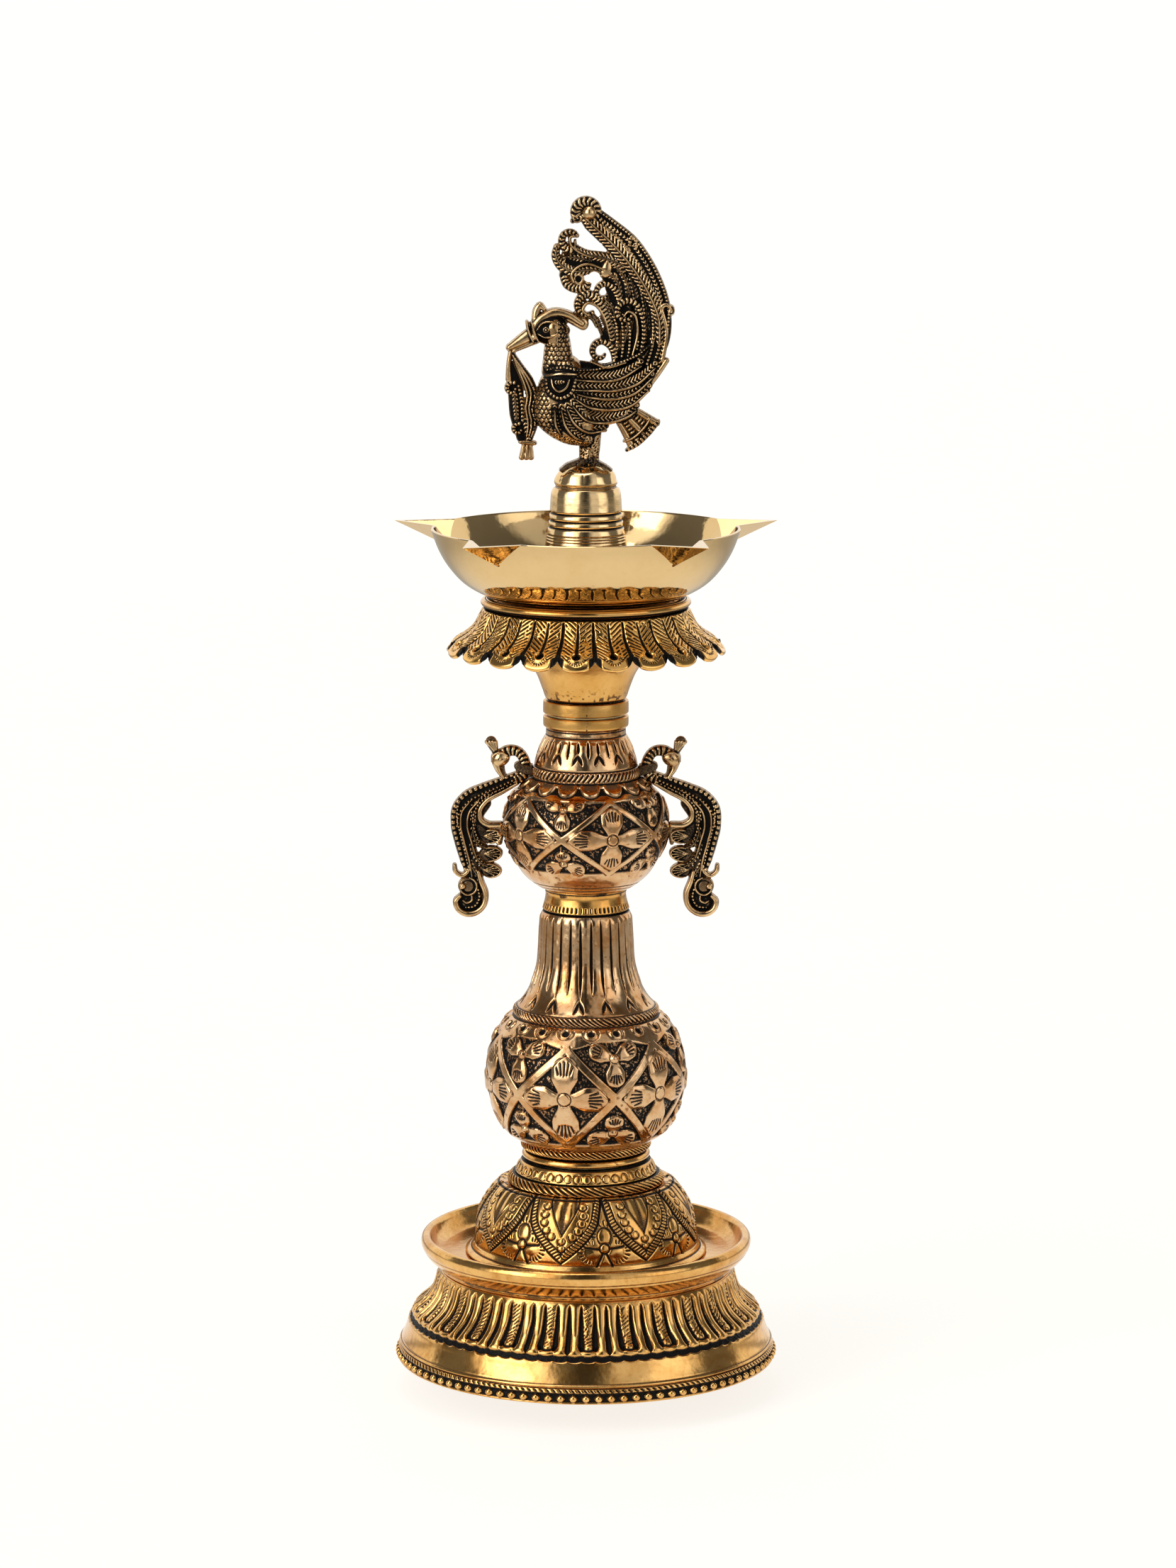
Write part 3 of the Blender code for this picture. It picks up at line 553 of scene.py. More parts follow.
def base_flare_relief(surface):
    """Groups of tongues between dark slots: one hatched tongue, then two plain ones."""
    run = surface.run
    top, foot = surface.run_at(39.6), surface.run_at(20.2)
    half_angle = TAU / TONGUE_GROUPS / 2
    angle = surface.around(TONGUE_GROUPS, FIRST_TONGUE)
    share = angle / half_angle  # -1 to 1 across a group
    across = angle * surface.radius
    uneven = surface.noise(cells=156, size=5.0, seed=11) - 0.5

    # tapered slots: place across the group, half width at the foot, share of the height
    slots = np.zeros_like(run)
    start = top + 0.8
    for centre, foot_width, reach in (
        (-0.36, 1.45, 0.93), (0.36, 1.45, 0.93), (1.0, 1.55, 0.99), (-1.0, 1.55, 0.99),
    ):
        end = top + (foot - top) * reach
        off = (share - centre - 0.05 * uneven) * half_angle * surface.radius
        place = np.clip((run - start) / (end - start), 0, 1)
        rounded = np.sqrt(np.clip(np.minimum(place, 1 - place) * 9.0, 0.04, 1.0))
        width = (0.42 * (1 - place) + foot_width * place) * rounded
        slot = smooth(width - np.abs(off), -0.26, 0.26) * (run > start) * (run < end)
        slots = np.maximum(slots, slot)
    surface.add(-1.25 * slots, slots)

    # the tongues swell between the slots
    plain = np.cos(np.clip(np.abs(np.abs(share) - 0.68) / 0.32, 0, 1) * np.pi / 2)
    hatched = np.cos(np.clip(np.abs(share) / 0.34, 0, 1) * np.pi / 2)
    body = smooth(run, top, top + 3.0) * smooth(foot + 1.0 - run, 0, 2.0)
    surface.add((0.75 * plain + 0.55 * hatched) * body)

    # rounded outline and slanted ticks of the hatched tongue
    tip = top + (foot - top) * 0.80
    outside = np.hypot(across, np.maximum(run - tip, 0)) - (0.32 * half_angle * surface.radius)
    outline = bell(outside, 0.62) * (run > tip)
    surface.add(-0.9 * outline, outline)
    tick = hatch((run - top) / 1.75 + across * 0.42 + 0.25 * uneven, 0.24, 0.12)
    tick = tick * smooth(0.24 * half_angle * surface.radius - np.abs(across), 0.0, 0.35)
    tick = tick * smooth(run, top + 1.6, top + 2.2) * smooth(tip + 0.8 - run, 0, 0.8)
    tick = tick * smooth(surface.noise(cells=260, size=1.8, seed=17), 0.18, 0.34)
    surface.add(-0.34 * tick, 0.95 * tick)
    surface.lines((39.5, 0.22, 0.15, 0.55))

    # scalloped channel under the tongues, and the plain band below it
    edge = foot + 0.35 + 0.75 * np.abs(np.cos(share * np.pi * 1.5)) ** 0.7
    channel = smooth(1.55 - np.abs(run - edge - 0.9), -0.2, 0.5)
    ragged = surface.stipple(cells=520, size=0.9, seed=23)
    surface.add(
        -1.1 * channel + 0.25 * channel * smooth(ragged, 0.5, 0.8),
        channel * (0.75 + 0.25 * (ragged < 0.62)),
    )
    surface.lines((8.5, 0.25, 0.35, 0.8))
    band = smooth(run, foot + 3.0, foot + 5.0)
    surface.add(0.10 * (surface.noise(cells=34, size=6.0, seed=29) - 0.5) * band)


lathe(
    "base_flare", ANTIQUE, "base", columns=1092, relief=base_flare_relief,
    outline=[
        (0.42, [
            (62.6, 40), (63.9, 39.9), (64.5, 38.6), (65.2, 35.6), (66.1, 32.4), (67.4, 29.4),
            (69.4, 26.4), (72.2, 23.8), (75.2, 21.3), (77.2, 19), (78.2, 16.6), (78.9, 14),
            (79.9, 11.2), (81, 9), (81.8, 7.9), (82, 7.45), (80.6, 7.4),
        ]),
    ],
    back=[(77.4, 7.4), (75.2, 12.6), (72.2, 19), (66, 26), (62.2, 34), (61.2, 40)],
)

# ---------------------------------------------------------------- drip tray


def drip_tray_relief(surface):
    surface.waver(0.10, cells=22, size=7.0, seed=41)
    coarse = surface.noise(cells=70, size=2.4, seed=43)
    stain = smooth(coarse * 0.6 + surface.noise(cells=150, size=1.0, seed=44) * 0.4, 0.52, 0.72)
    surface.add(ink=stain * 0.5 * smooth(47.5 - surface.z, 0, 3.0))
    surface.lines((48.6, 0.30, 0.30, 0.55), (42.3, 0.42, 0.55, 0.95))


lathe(
    "drip_tray", ANTIQUE, "base", columns=420, relief=drip_tray_relief,
    outline=[
        (0.40, [
            (68.3, 54.2), (68.9, 54.75), (69.8, 54.95), (70.9, 54.7), (71.8, 53.9), (72.3, 52.7),
            (72.35, 51.4), (72, 50), (71.2, 48.3), (70, 46.6), (68.3, 44.8), (66.6, 43.3),
            (65.2, 42.2), (64.5, 41.4), (64.2, 40.7), (63.2, 40.3),
        ]),
    ],
    back=[
        (60.7, 40.3), (60.6, 44.5), (7, 44.5), (6.4, 45.1), (6.4, 46.7), (7, 47), (20, 47),
        (40, 47), (50, 47), (58, 46.95), (62.6, 47), (64.4, 47.6), (65.8, 48.7), (66.7, 49.8),
        (67.4, 51.2), (68, 53),
    ],
)

# ---------------------------------------------------------------- dome of the base

DOME_PETALS = 8
FIRST_PETAL = math.radians(-12.8)


def trefoil(across, down):
    """Height and ink of a three-lobed figure round a knob, on a forked stem."""
    knob = np.hypot(across, down)
    ring = bell(knob - 1.25, 0.26)
    height = 0.5 * dome(knob / 1.2) - 0.4 * ring
    ink = ring * 0.95
    # upper and side lobes: centre, then half sizes
    for x, y, half_x, half_y in (
        (0.0, -3.0, 1.75, 2.2), (-2.9, 0.9, 1.9, 1.5), (2.9, 0.9, 1.9, 1.5),
    ):
        upper = y < 0
        size = np.hypot((across - x) / half_x, (down - y) / half_y)
        outside = (size - 1.0) * min(half_x, half_y)
        rim = bell(outside, 0.32) * smooth(knob, 1.3, 1.7)
        height = height - 0.30 * rim * upper + 0.30 * np.clip(1 - size, 0, 1)
        ink = np.maximum(ink, rim * (0.75 if upper else 0.35))
        if upper:
            angle = np.arctan2(across - x, -(down - y))
        else:
            angle = np.arctan2(down - y, (across - x) * np.sign(x))
        ray = hatch(angle / TAU * 20, 0.27, 0.15) * (np.abs(angle) < 1.75)
        ray = ray * smooth(outside, 0.30, 0.55) * smooth(1.65 - outside, 0, 0.3)
        height = height - 0.30 * ray
        ink = np.maximum(ink, ray * 0.95)
    for side in (-1, 1):
        stem = to_segment(across, down, (side * 0.5, 1.3), (side * 2.1, 4.6))[0]
        arm = to_segment(across, down, (side * 1.5, 0.1), (side * 4.8, -0.3))[0]
        stem, arm = bell(stem, 0.38), bell(arm, 0.36)
        height = height - 0.45 * np.maximum(stem, arm * 0.8)
        ink = np.maximum(ink, np.maximum(stem, arm * 0.9))
    return height, ink


def base_dome_relief(surface):
    """Pointed petals hanging from the top, with trefoils on the ground between their tips."""
    run = surface.run
    top, tip = surface.run_at(77.6), surface.run_at(52.8)
    length = tip - top
    half_angle = TAU / DOME_PETALS / 2
    angle = surface.around(DOME_PETALS, FIRST_PETAL)
    across = angle * surface.radius
    full = half_angle * surface.radius
    place = np.clip((run - top) / length, 0, 1)

    def petal_inside(place, share):
        """Distance into a petal that takes up a share of its sector, closing to a point."""
        closing = 0.90 * (1.0 - (np.maximum(place - 0.30, 0.0) / 0.70) ** 1.55)
        width = full * share * np.where(place < 0.30, 1.0 - 0.10 * place / 0.30, closing)
        return (width - np.abs(across)) * 0.86

    outer = petal_inside(place, 0.985)
    inner = petal_inside(np.clip(place * 1.20, 0, 1), 0.80)
    outer = np.where(run > tip, -np.hypot(across, run - tip), outer)
    surface.add(
        0.65 * smooth(outer, -0.3, 1.1) - 0.55 * bell(outer, 0.40), 0.98 * bell(outer, 0.62)
    )
    groove = bell(inner, 0.34) * (place > 0.02) * (place < 0.90)
    surface.add(-0.45 * groove, 0.95 * groove)

    # hatching between the two outlines, slanted down to the tip
    uneven = surface.noise(cells=160, size=3.0, seed=51) - 0.5
    tick = hatch((run - top) / 1.55 - np.abs(across) * 0.34 + 0.12 * uneven, 0.27, 0.13)
    tick = tick * ((outer > 0.35) & (inner < -0.2)) * smooth(outer, 0.3, 0.8)
    surface.add(-0.40 * tick, tick)

    def punch(centre, at, ring_radius, opening, fade, depth, boss_radius, ink):
        """A punched circle open at its top, round a low boss."""
        below = run - (top + length * at)
        distance = np.hypot(across - centre, below)
        ring = bell(distance - ring_radius, 0.32) * smooth(below + opening, 0.0, fade)
        surface.add(-depth * ring + 0.45 * dome(distance / boss_radius), ring * ink)

    # a row of circles down each side: place, share of the half sector
    for at, share in ((0.10, 0.48), (0.24, 0.496), (0.37, 0.4704), (0.49, 0.392),
                      (0.585, 0.25088)):
        for side in (-1, 1):
            punch(
                side * full * share, at, ring_radius=1.75, opening=1.1, fade=0.9,
                depth=0.40, boss_radius=1.8, ink=0.95,
            )
    # single ones towards the tip
    for at in (0.655, 0.765):
        punch(
            0.0, at, ring_radius=1.7, opening=1.3, fade=0.8,
            depth=0.36, boss_radius=1.4, ink=0.92,
        )

    # dark fluted cone in the middle of the petal's top
    inside = full * 0.40 * (1 - np.clip(place / 0.56, 0, 1) ** 1.3) - np.abs(across)
    cone = smooth(inside, 0.0, 0.35) * (place < 0.56)
    rib = np.abs(np.sin(angle / half_angle * 10.5))
    shade = np.maximum(0.60 - 0.55 * smooth(rib, 0.25, 0.75), smooth(place, 0.22, 0.40) * 0.55)
    edge = bell(inside, 0.32) * (place < 0.58)
    surface.add(-0.45 * cone * (1 - rib) - 0.45 * edge, np.maximum(cone * shade, edge))

    # trefoils between the tips
    height, ink = trefoil(
        surface.around(DOME_PETALS, FIRST_PETAL + half_angle) * surface.radius / 1.75,
        (run - (top + length * 0.76)) / 1.75,
    )
    ground = smooth(-outer, 0.35, 0.7) * (run <= tip + 1.2)
    surface.add(height * ground, ink * ground)
    surface.lines(
        (51.9, 0.30, 0.30, 0.55), (49.7, 0.36, 0.35, 0.85), (77.9, 0.5, 0.5, 1.0)
    )


lathe(
    "base_dome", ANTIQUE, "base", columns=1080, relief=base_dome_relief,
    outline=[
        (0.34, [
            (36, 78.25), (37.6, 78.15), (38.9, 77.2), (40.6, 75.4), (42.4, 73.1), (44, 70.6),
            (45.5, 67.6), (46.7, 64.2), (47.7, 60.6), (48.4, 57), (48.9, 53.8), (49.3, 51.4),
            (50.4, 49.7), (52.3, 48.6), (52.9, 47.9), (52.5, 47.4), (51.4, 47.3),
        ]),
    ],
    back=[
        (46, 47.3), (45.2, 56), (42.6, 66), (36.6, 75.2), (6.6, 75.2), (6.4, 75.6), (6.4, 77.8),
        (6.8, 78.2), (20, 78.2), (34, 78.2),
    ],
)

# ---------------------------------------------------------------- rings between base and stem


def base_rope_relief(surface):
    run, length = surface.run, surface.length
    surface.rope(
        count=62, start=length * 0.20, end=length * 0.82, slant=-1.15, depth=0.50,
        jitter=0.25, seed=61,
    )
    surface.add(0.35 * np.sin(np.clip(run / (length * 0.8), 0, 1) * np.pi))
    surface.add(ink=smooth(run, length * 0.80, length * 0.9))
    surface.add(ink=smooth(length * 0.22 - run, 0, 0.25))


lathe(
    "base_rope_ring", ANTIQUE, "base", columns=640, relief=base_rope_relief,
    outline=[
        (0.24, [
            (30.6, 82.7), (31.7, 82.6), (32.6, 82), (33.4, 81.1), (34, 80.1), (34.2, 79.3),
            (33.8, 78.6), (32.6, 78.5),
        ]),
    ],
    back=[(14, 78.5), (14, 82.7)],
)

PEARLS = 44
PEARL_RADIUS = 1.85
PEARL_PATH = 30.4


def base_pearl_relief(surface):
    """Flat pearls, each outlined more strongly on one side."""
    run, length = surface.run, surface.length
    across = surface.around(PEARLS, 0.02) * PEARL_PATH
    distance = np.hypot(across, run - length * 0.52)
    cell = np.floor(surface.theta / TAU * PEARLS + 0.5)
    side = np.sign(np.sin(cell * 1.7 + 0.6))
    strength = 0.30 + 0.70 * smooth(across * side + 1.0, 0.2, 1.2)
    ring = bell(distance - PEARL_RADIUS, 0.27) * strength
    surface.add(0.42 * dome(distance / (PEARL_RADIUS * 1.05)) - 0.32 * ring, ring * 0.9)
    surface.add(ink=smooth(run, length * 0.84, length * 0.92))
    surface.add(ink=smooth(1.3 - run, 0, 0.3))


lathe(
    "base_pearl_ring", ANTIQUE, "base", columns=760, relief=base_pearl_relief,
    outline=[
        (0.20, [
            (27.2, 88.5), (28.1, 88.45), (28.6, 88), (29.1, 87), (29.7, 85.8), (30.3, 84.6),
            (30.8, 83.8), (30.9, 83.3), (30.4, 83), (29.4, 83),
        ]),
    ],
    back=[(14, 83), (14, 88.5)],
)


def plain_ring_relief(surface):
    run, length = surface.run, surface.length
    surface.waver(0.06, cells=20, size=2.0, seed=66)
    surface.add(ink=smooth(surface.noise(cells=90, size=1.2, seed=67), 0.80, 0.92) * 0.4)
    surface.add(ink=smooth(1.0 - run, 0, 0.4))
    surface.add(ink=smooth(run, length - 1.5, length - 1.0))


lathe(
    "stem_plain_ring", ANTIQUE, "stem", columns=320, relief=plain_ring_relief,
    outline=[
        (0.24, [
            (25.4, 92.7), (26.5, 92.65), (27.4, 92.2), (27.9, 91.4), (28, 90.6), (27.6, 89.9),
            (26.8, 89.7), (25.8, 89.7),
        ]),
    ],
    back=[(6.4, 89.7), (6.4, 92.7)],
)


def stem_rope_relief(surface):
    run, length = surface.run, surface.length
    surface.rope(
        count=74, start=length * 0.20, end=length * 0.70, slant=-1.05, depth=0.40,
        jitter=0.25, seed=71,
    )
    surface.add(ink=smooth(0.9 - run, 0, 0.4))
    surface.add(ink=smooth(run, length * 0.68, length * 0.78))


lathe(
    "stem_rope_ring", ANTIQUE, "stem", columns=640, relief=stem_rope_relief,
    outline=[
        (0.20, [
            (25.6, 97.3), (26.8, 97.25), (27.7, 96.8), (28.3, 96), (28.5, 95.2), (28.2, 94.3),
            (27.4, 93.6), (26.4, 93.1), (25.2, 93),
        ]),
    ],
    back=[(6.4, 93), (6.4, 97.3)],
)

# ---------------------------------------------------------------- carving shared by the vases

NECK_SLOTS = 28
STROKE_DEPTH = 0.45


def petal(along, across, length, half, peak):
    """Distance into a pointed petal: a narrow neck at 0, widest at peak, a tip at length."""
    place = np.clip(along / length, 0.0, 1.0)
    neck = 0.44 + 0.56 * smooth(place, 0.10, 0.52)
    past_peak = np.clip((place - peak) / (1 - peak), 0, 1)
    tip = np.sqrt(np.clip(1.0 - past_peak**2.3, 0, 1))
    inside = half * neck * tip - np.abs(across)
    outside = -np.hypot(np.maximum(-along, 0) + np.maximum(along - length, 0), across)
    on_petal = (along >= 0) & (along <= length)
    return np.where(on_petal, inside, np.minimum(outside, inside))


def fan_distance(along, across, start, end, spread, count):
    """Distance to the nearest of count chisel cuts that fan out across a petal's end."""
    nearest = np.full_like(along, 99.0)
    for i in range(count):
        t = (i - (count - 1) / 2) / ((count - 1) / 2)
        low = (start + abs(t) * 0.5, t * spread * 0.7)
        high = (end - abs(t) ** 2 * (end - start) * 0.4, t * spread)
        nearest = np.minimum(nearest, to_segment(along, across, low, high)[0])
    return nearest


def diamond_band(surface, count, first, z_mid, z_top, z_low, widest, seed, band, scale):
    """Height and ink of the vases' carving.

    Raised bands cross in count diamonds over a sunk stippled ground, with a four-petal flower in
    each diamond and half flowers between. widest is the vase's largest radius, band the half
    width of the bands and scale the size of the figures.
    """
    period = TAU / count
    first = math.radians(first)
    mid = surface.run_at(z_mid)
    reach_up, reach_down = mid - surface.run_at(z_top), surface.run_at(z_low) - mid
    down = surface.run - mid
    reach = np.where(down < 0, reach_up, reach_down)
    half_width = period / 2 * widest
    angle = surface.around(count, first)
    across = angle * surface.radius
    level = down / reach
    diagonal = np.abs(angle / (period / 2)) + np.abs(level)  # 1 on the bands' centre lines
    slope = 1.0 / np.sqrt((1.0 / half_width) ** 2 + (1.0 / reach) ** 2)
    on_band = np.abs(level) < 1.04

    # distance into the diamonds, and into the triangles above and below them
    between = surface.around(count, first + period / 2)
    across_between = between * surface.radius
    upper_edge = (1.08 + 0.10 * np.cos(between / (period / 2) * 3.0) + level) * reach
    beyond = (diagonal - 1.0) * slope - band
    inside = np.where((diagonal < 1.0) & on_band, (1.0 - diagonal) * slope - band, -9.0)
    upper = (diagonal > 1.0) & (level < 0)
    inside = np.where(upper, np.minimum(beyond, upper_edge), inside)
    lower = (diagonal > 1.0) & (level > 0)
    inside = np.where(lower, np.minimum(beyond, (0.96 - level) * reach), inside)

    figure = np.full_like(down, -9.0)
    bulge = np.zeros_like(down)
    cuts = np.full_like(down, 99.0)

    def add_petal(along, side, length, half, peak, strokes=5):
        nonlocal figure, bulge, cuts
        half = half * scale
        depth = petal(along, side, length, half, peak)
        figure = np.maximum(figure, depth)
        swell = smooth(depth, 0.0, 1.9 * scale) * smooth(along, 0.5, length * 0.5)
        bulge = np.maximum(bulge, 0.55 * scale * swell)
        fan = fan_distance(along, side, length * 0.56, length * 0.86, half * 0.60, strokes)
        cuts = np.minimum(cuts, fan)

    # four-petal flowers
    trim = band * 1.1
    for sign in (1, -1):
        add_petal(sign * across, down, (half_width - trim) * 0.93, half=4.5, peak=0.66)
    add_petal(down, across, (reach_down - trim) * 0.93, half=4.9, peak=0.68)
    add_petal(-down, across, (reach_up - trim) * 0.93, half=4.9, peak=0.68)

    # half flowers, above and below: direction, reach, place of the knob, petal length
    knobs = []
    tilt = math.radians(24.0)
    for direction, far_reach, far, share in (
        (-1, reach_up, 0.80, 0.82), (1, reach_down, 0.68, 0.62),
    ):
        outward = direction * (down - direction * far_reach * far)
        span = (far_reach * far - band * 1.2) * share
        add_petal(-outward, across_between, span, half=3.5, peak=0.66)
        for sign in (-1, 1):
            along = sign * across_between * math.cos(tilt) + outward * math.sin(tilt)
            side = -sign * across_between * math.sin(tilt) + outward * math.cos(tilt)
            add_petal(along, side, 9.6 * scale, half=3.3, peak=0.68, strokes=4)
        knob = np.hypot(across_between, outward)
        figure = np.maximum(figure, 1.5 * scale - knob)
        bulge = np.maximum(bulge, 0.9 * smooth(1.5 * scale - knob, 0.0, 1.2))
        knobs.append(knob - 1.75 * scale)

    cut_height = -STROKE_DEPTH * bell(cuts, 0.30 * scale)
    cut_ink = bell(cuts, 0.30 * scale * 1.15)
    for ring in knobs:
        cut_height = np.minimum(cut_height, -STROKE_DEPTH * bell(ring, 0.25))
        cut_ink = np.maximum(cut_ink, bell(ring, 0.22) * 0.9)

    # sunk ground
    ground = np.minimum(inside, -figure)
    wall = smooth(ground, -0.18, 0.38)
    grain = surface.stipple(cells=int(TAU * widest / 0.72), size=0.72, seed=seed)
    height = -1.15 * scale * wall + 0.22 * wall * smooth(grain, 0.45, 0.75)
    ink = wall * (1.0 - 0.62 * smooth(grain, 0.46, 0.62) * smooth(ground, 0.45, 0.9))
    ink = np.maximum(ink, 0.95 * bell(ground - 0.22, 0.30) * (ground > -0.5))
    raised = 1.0 - wall
    height = height + bulge * raised * (figure > 0)

    # outline of the bands
    edge = bell(np.abs(diagonal - 1.0) * slope - band, 0.20) * on_band
    height = height - 0.30 * edge * raised
    ink = np.maximum(ink, 0.75 * edge)

    # ring in the flower's middle; the cuts stay outside it
    centre = np.hypot(across, down)
    ring_radius = 2.45 * scale
    ring = centre - ring_radius
    height = height + 0.35 * smooth(-ring, 0, 0.7) - 0.55 * bell(ring, 0.28)
    ink = np.maximum(ink, bell(ring, 0.26))
    clear = raised * (centre > ring_radius * 1.2)
    height = height + cut_height * clear
    ink = np.maximum(ink, cut_ink * clear * (figure > 0.1))
    return height, ink


def neck_cuts(
    surface, first, z_top, z_long, z_short, z_vee_top, z_vee_low, z_end, width, seed
):
    """Long tapered slots down a neck to z_long and z_short in turn, a V upside down under every
    second one. Nothing is cut below z_end."""
    theta, radius, run = surface.theta, surface.radius, surface.run
    pitch = TAU / NECK_SLOTS
    first = math.radians(first)
    cell = np.round((theta - first) / pitch)
    across = (theta - first - cell * pitch) * radius
    jitter = np.random.default_rng(seed).random((3, NECK_SLOTS))
    index = np.mod(cell.astype(int), NECK_SLOTS)
    top, short = surface.run_at(z_top), surface.run_at(z_short)
    start = top + jitter[1][index] * 1.1
    end = np.where(np.mod(cell, 2) == 0, surface.run_at(z_long), short)
    end = end - jitter[2][index] * 1.5
    place = np.clip((run - start) / (end - start), 0, 1)
    off = across - (jitter[0][index] - 0.5) * 0.9 * (place - 0.5)
    rounded = np.sqrt(np.clip(np.minimum(place * 8, (1 - place) * 5), 0.0, 1.0))
    half = width * (0.55 + 0.45 * np.sin(np.pi * place**1.3)) * rounded
    slot = smooth(half - np.abs(off), -0.16, 0.20) * (place > 0) * (place < 1)
    # the tongues between the slots swell a little
    swell = np.sin(np.clip(np.abs(across) / (pitch * radius / 2), 0, 1) * np.pi / 2)
    swell = swell * smooth(run, top, top + 2) * smooth(short - run, -1.0, 3.0)
    height = -0.95 * slot + 0.34 * swell
    ink = slot
    vee_top, vee_low = surface.run_at(z_vee_top), surface.run_at(z_vee_low)
    across = surface.around(NECK_SLOTS / 2, first) * radius
    for side in (-1, 1):
        distance, place = to_segment(across, run, (side * 0.15, vee_top), (side * 2.1, vee_low))
        vee = smooth(0.30 + 0.45 * np.sin(np.pi * place) - distance, -0.15, 0.25)
        height = np.minimum(height, height * (1 - vee) - 0.9 * vee)
        ink = np.maximum(ink, vee)
    above = surface.z > z_end
    surface.add(height * above, ink * above)


def vase_wear(surface, amount, cells, seeds):
    """Slow and fine waver, and stains. cells and seeds go with the slow, fine and stain noise."""
    slow = surface.noise(cells[0], 5.0, seeds[0])
    surface.add(amount * (slow - 0.5))
    surface.waver(0.05, cells[1], 2.0, seeds[1])
    stain = smooth(surface.noise(cells[2], 1.7, seeds[2]), 0.74, 0.9)
    surface.add(ink=0.42 * stain * smooth(slow, 0.45, 0.6))


# ---------------------------------------------------------------- lower vase


def lower_vase_relief(surface):
    run, z = surface.run, surface.z
    neck_cuts(
        surface, first=-6.4, z_top=198.2, z_long=163.4, z_short=166.0, z_vee_top=163.0,
        z_vee_low=158.9, z_end=157.4, width=0.62, seed=101,
    )
    surface.lines(
        (157.3, 0.34, 0.7, 1.0), (153.1, 0.42, 0.8, 1.0), (98.5, 0.40, 0.5, 1.0)
    )
    surface.rope(
        count=84, start=surface.run_at(157.0), end=surface.run_at(153.4), slant=-0.85,
        depth=0.42, jitter=0.30, seed=107,
    )
    # lobes with round hollows under the rope
    centre = surface.run_at(151.0)
    across = surface.around(20, math.radians(3.7)) * surface.radius
    hole = smooth(1.55 - np.hypot(across, run - centre), -0.25, 0.35)
    outside = np.hypot(across, run - centre + 0.5) - 3.55
    rim = bell(outside, 0.30) * (run > centre - 1.6)
    zone = (z < 153.2) & (z > 143.5)
    surface.add(
        zone * (-1.1 * hole - 0.38 * rim + 0.45 * smooth(-outside, 0, 1.4)),
        zone * np.maximum(hole, rim * 0.62),
    )
    height, ink = diamond_band(
        surface, count=6, first=-12.5, z_mid=123.9, z_top=145.4, z_low=101.2,
        widest=43.6, seed=113, band=1.9, scale=1.22,
    )
    zone = smooth(148.4 - z, 0.0, 0.8) * smooth(z - 98.6, 0.0, 0.8)
    surface.add(height * zone, ink * zone)
    vase_wear(surface, 0.12, cells=(46, 120, 120), seeds=(119, 127, 131))
    surface.add(ink=0.9 * smooth(z, 198.6, 199.05))


lathe(
    "lower_vase", ROSE, "stem", columns=720, relief=lower_vase_relief,
    outline=[
        (0.85, [
            (17.6, 199.2), (18.5, 199.15), (19.1, 198.5), (19.6, 197.2), (19.9, 195.2),
            (20.1, 192), (20.4, 187), (20.7, 181), (21.1, 176.3), (21.8, 173), (22.7, 170),
            (23.9, 166.9), (25.4, 163.7), (27.3, 160.6), (29.2, 158.3), (30.5, 157.2),
        ]),
        (0.40, [
            (30.5, 157.2), (31.3, 156.6), (31.8, 155.4), (31.7, 154.1), (31.5, 153.3),
            (32.4, 152.9),
        ]),
        (0.46, [
            (32.4, 152.9), (34.6, 151.6), (36.6, 149.4), (38.6, 146.4), (40.7, 142.2),
            (42.1, 138.6), (43.1, 134.6), (43.7, 129.8), (43.7, 125), (43.3, 120.6),
            (42.3, 116.4), (40.9, 112), (38.9, 107.4), (36.6, 103.4), (34.6, 101.2),
            (32.2, 99.4), (29.8, 98.2), (28.2, 97.65), (27, 97.6),
        ]),
    ],
    back=[
        (6.4, 97.6), (6.4, 106.5), (29.5, 106.5), (37, 114), (39.2, 124), (37.4, 137),
        (31.5, 148), (24, 158), (17.4, 172), (6.4, 180), (6.4, 199.2),
    ],
)

# ---------------------------------------------------------------- collar between the vases


def mid_collar_relief(surface):
    """A plain collar with short upright cuts near its foot."""
    run, z = surface.run, surface.z
    across = surface.around(56) * surface.radius
    start, end = surface.run_at(202.9), surface.run_at(200.5)
    cut = smooth(0.36 - np.abs(across), -0.16, 0.16)
    cut = cut * smooth(run - start, -0.2, 0.4) * smooth(end - run, -0.2, 0.3)
    surface.add(-0.35 * cut, cut)
    surface.waver(0.16, cells=16, size=5.0, seed=163)
    surface.lines((208.2, 0.35, 0.4, 0.9))
    stain = smooth(surface.noise(cells=30, size=1.1, seed=157), 0.60, 0.85)
    surface.add(ink=stain * smooth(z, 204.5, 207.0) * 0.6)
    surface.add(ink=smooth(200.3 - z, 0, 0.5) * 0.95)


lathe(
    "mid_collar", BRIGHT, "stem", columns=420, relief=mid_collar_relief,
    outline=[
        (0.28, [
            (16.9, 209.1), (18, 209.05), (18.2, 208.6), (17.7, 207.6), (17.5, 206.4),
            (17.7, 204.6), (18.2, 202.4), (18.7, 200.8), (18.8, 200), (18.3, 199.5),
            (17.4, 199.5),
        ]),
    ],
    back=[(6.4, 199.5), (6.4, 209.1)],
)

# ---------------------------------------------------------------- upper vase

UPPER_LOBES = 16


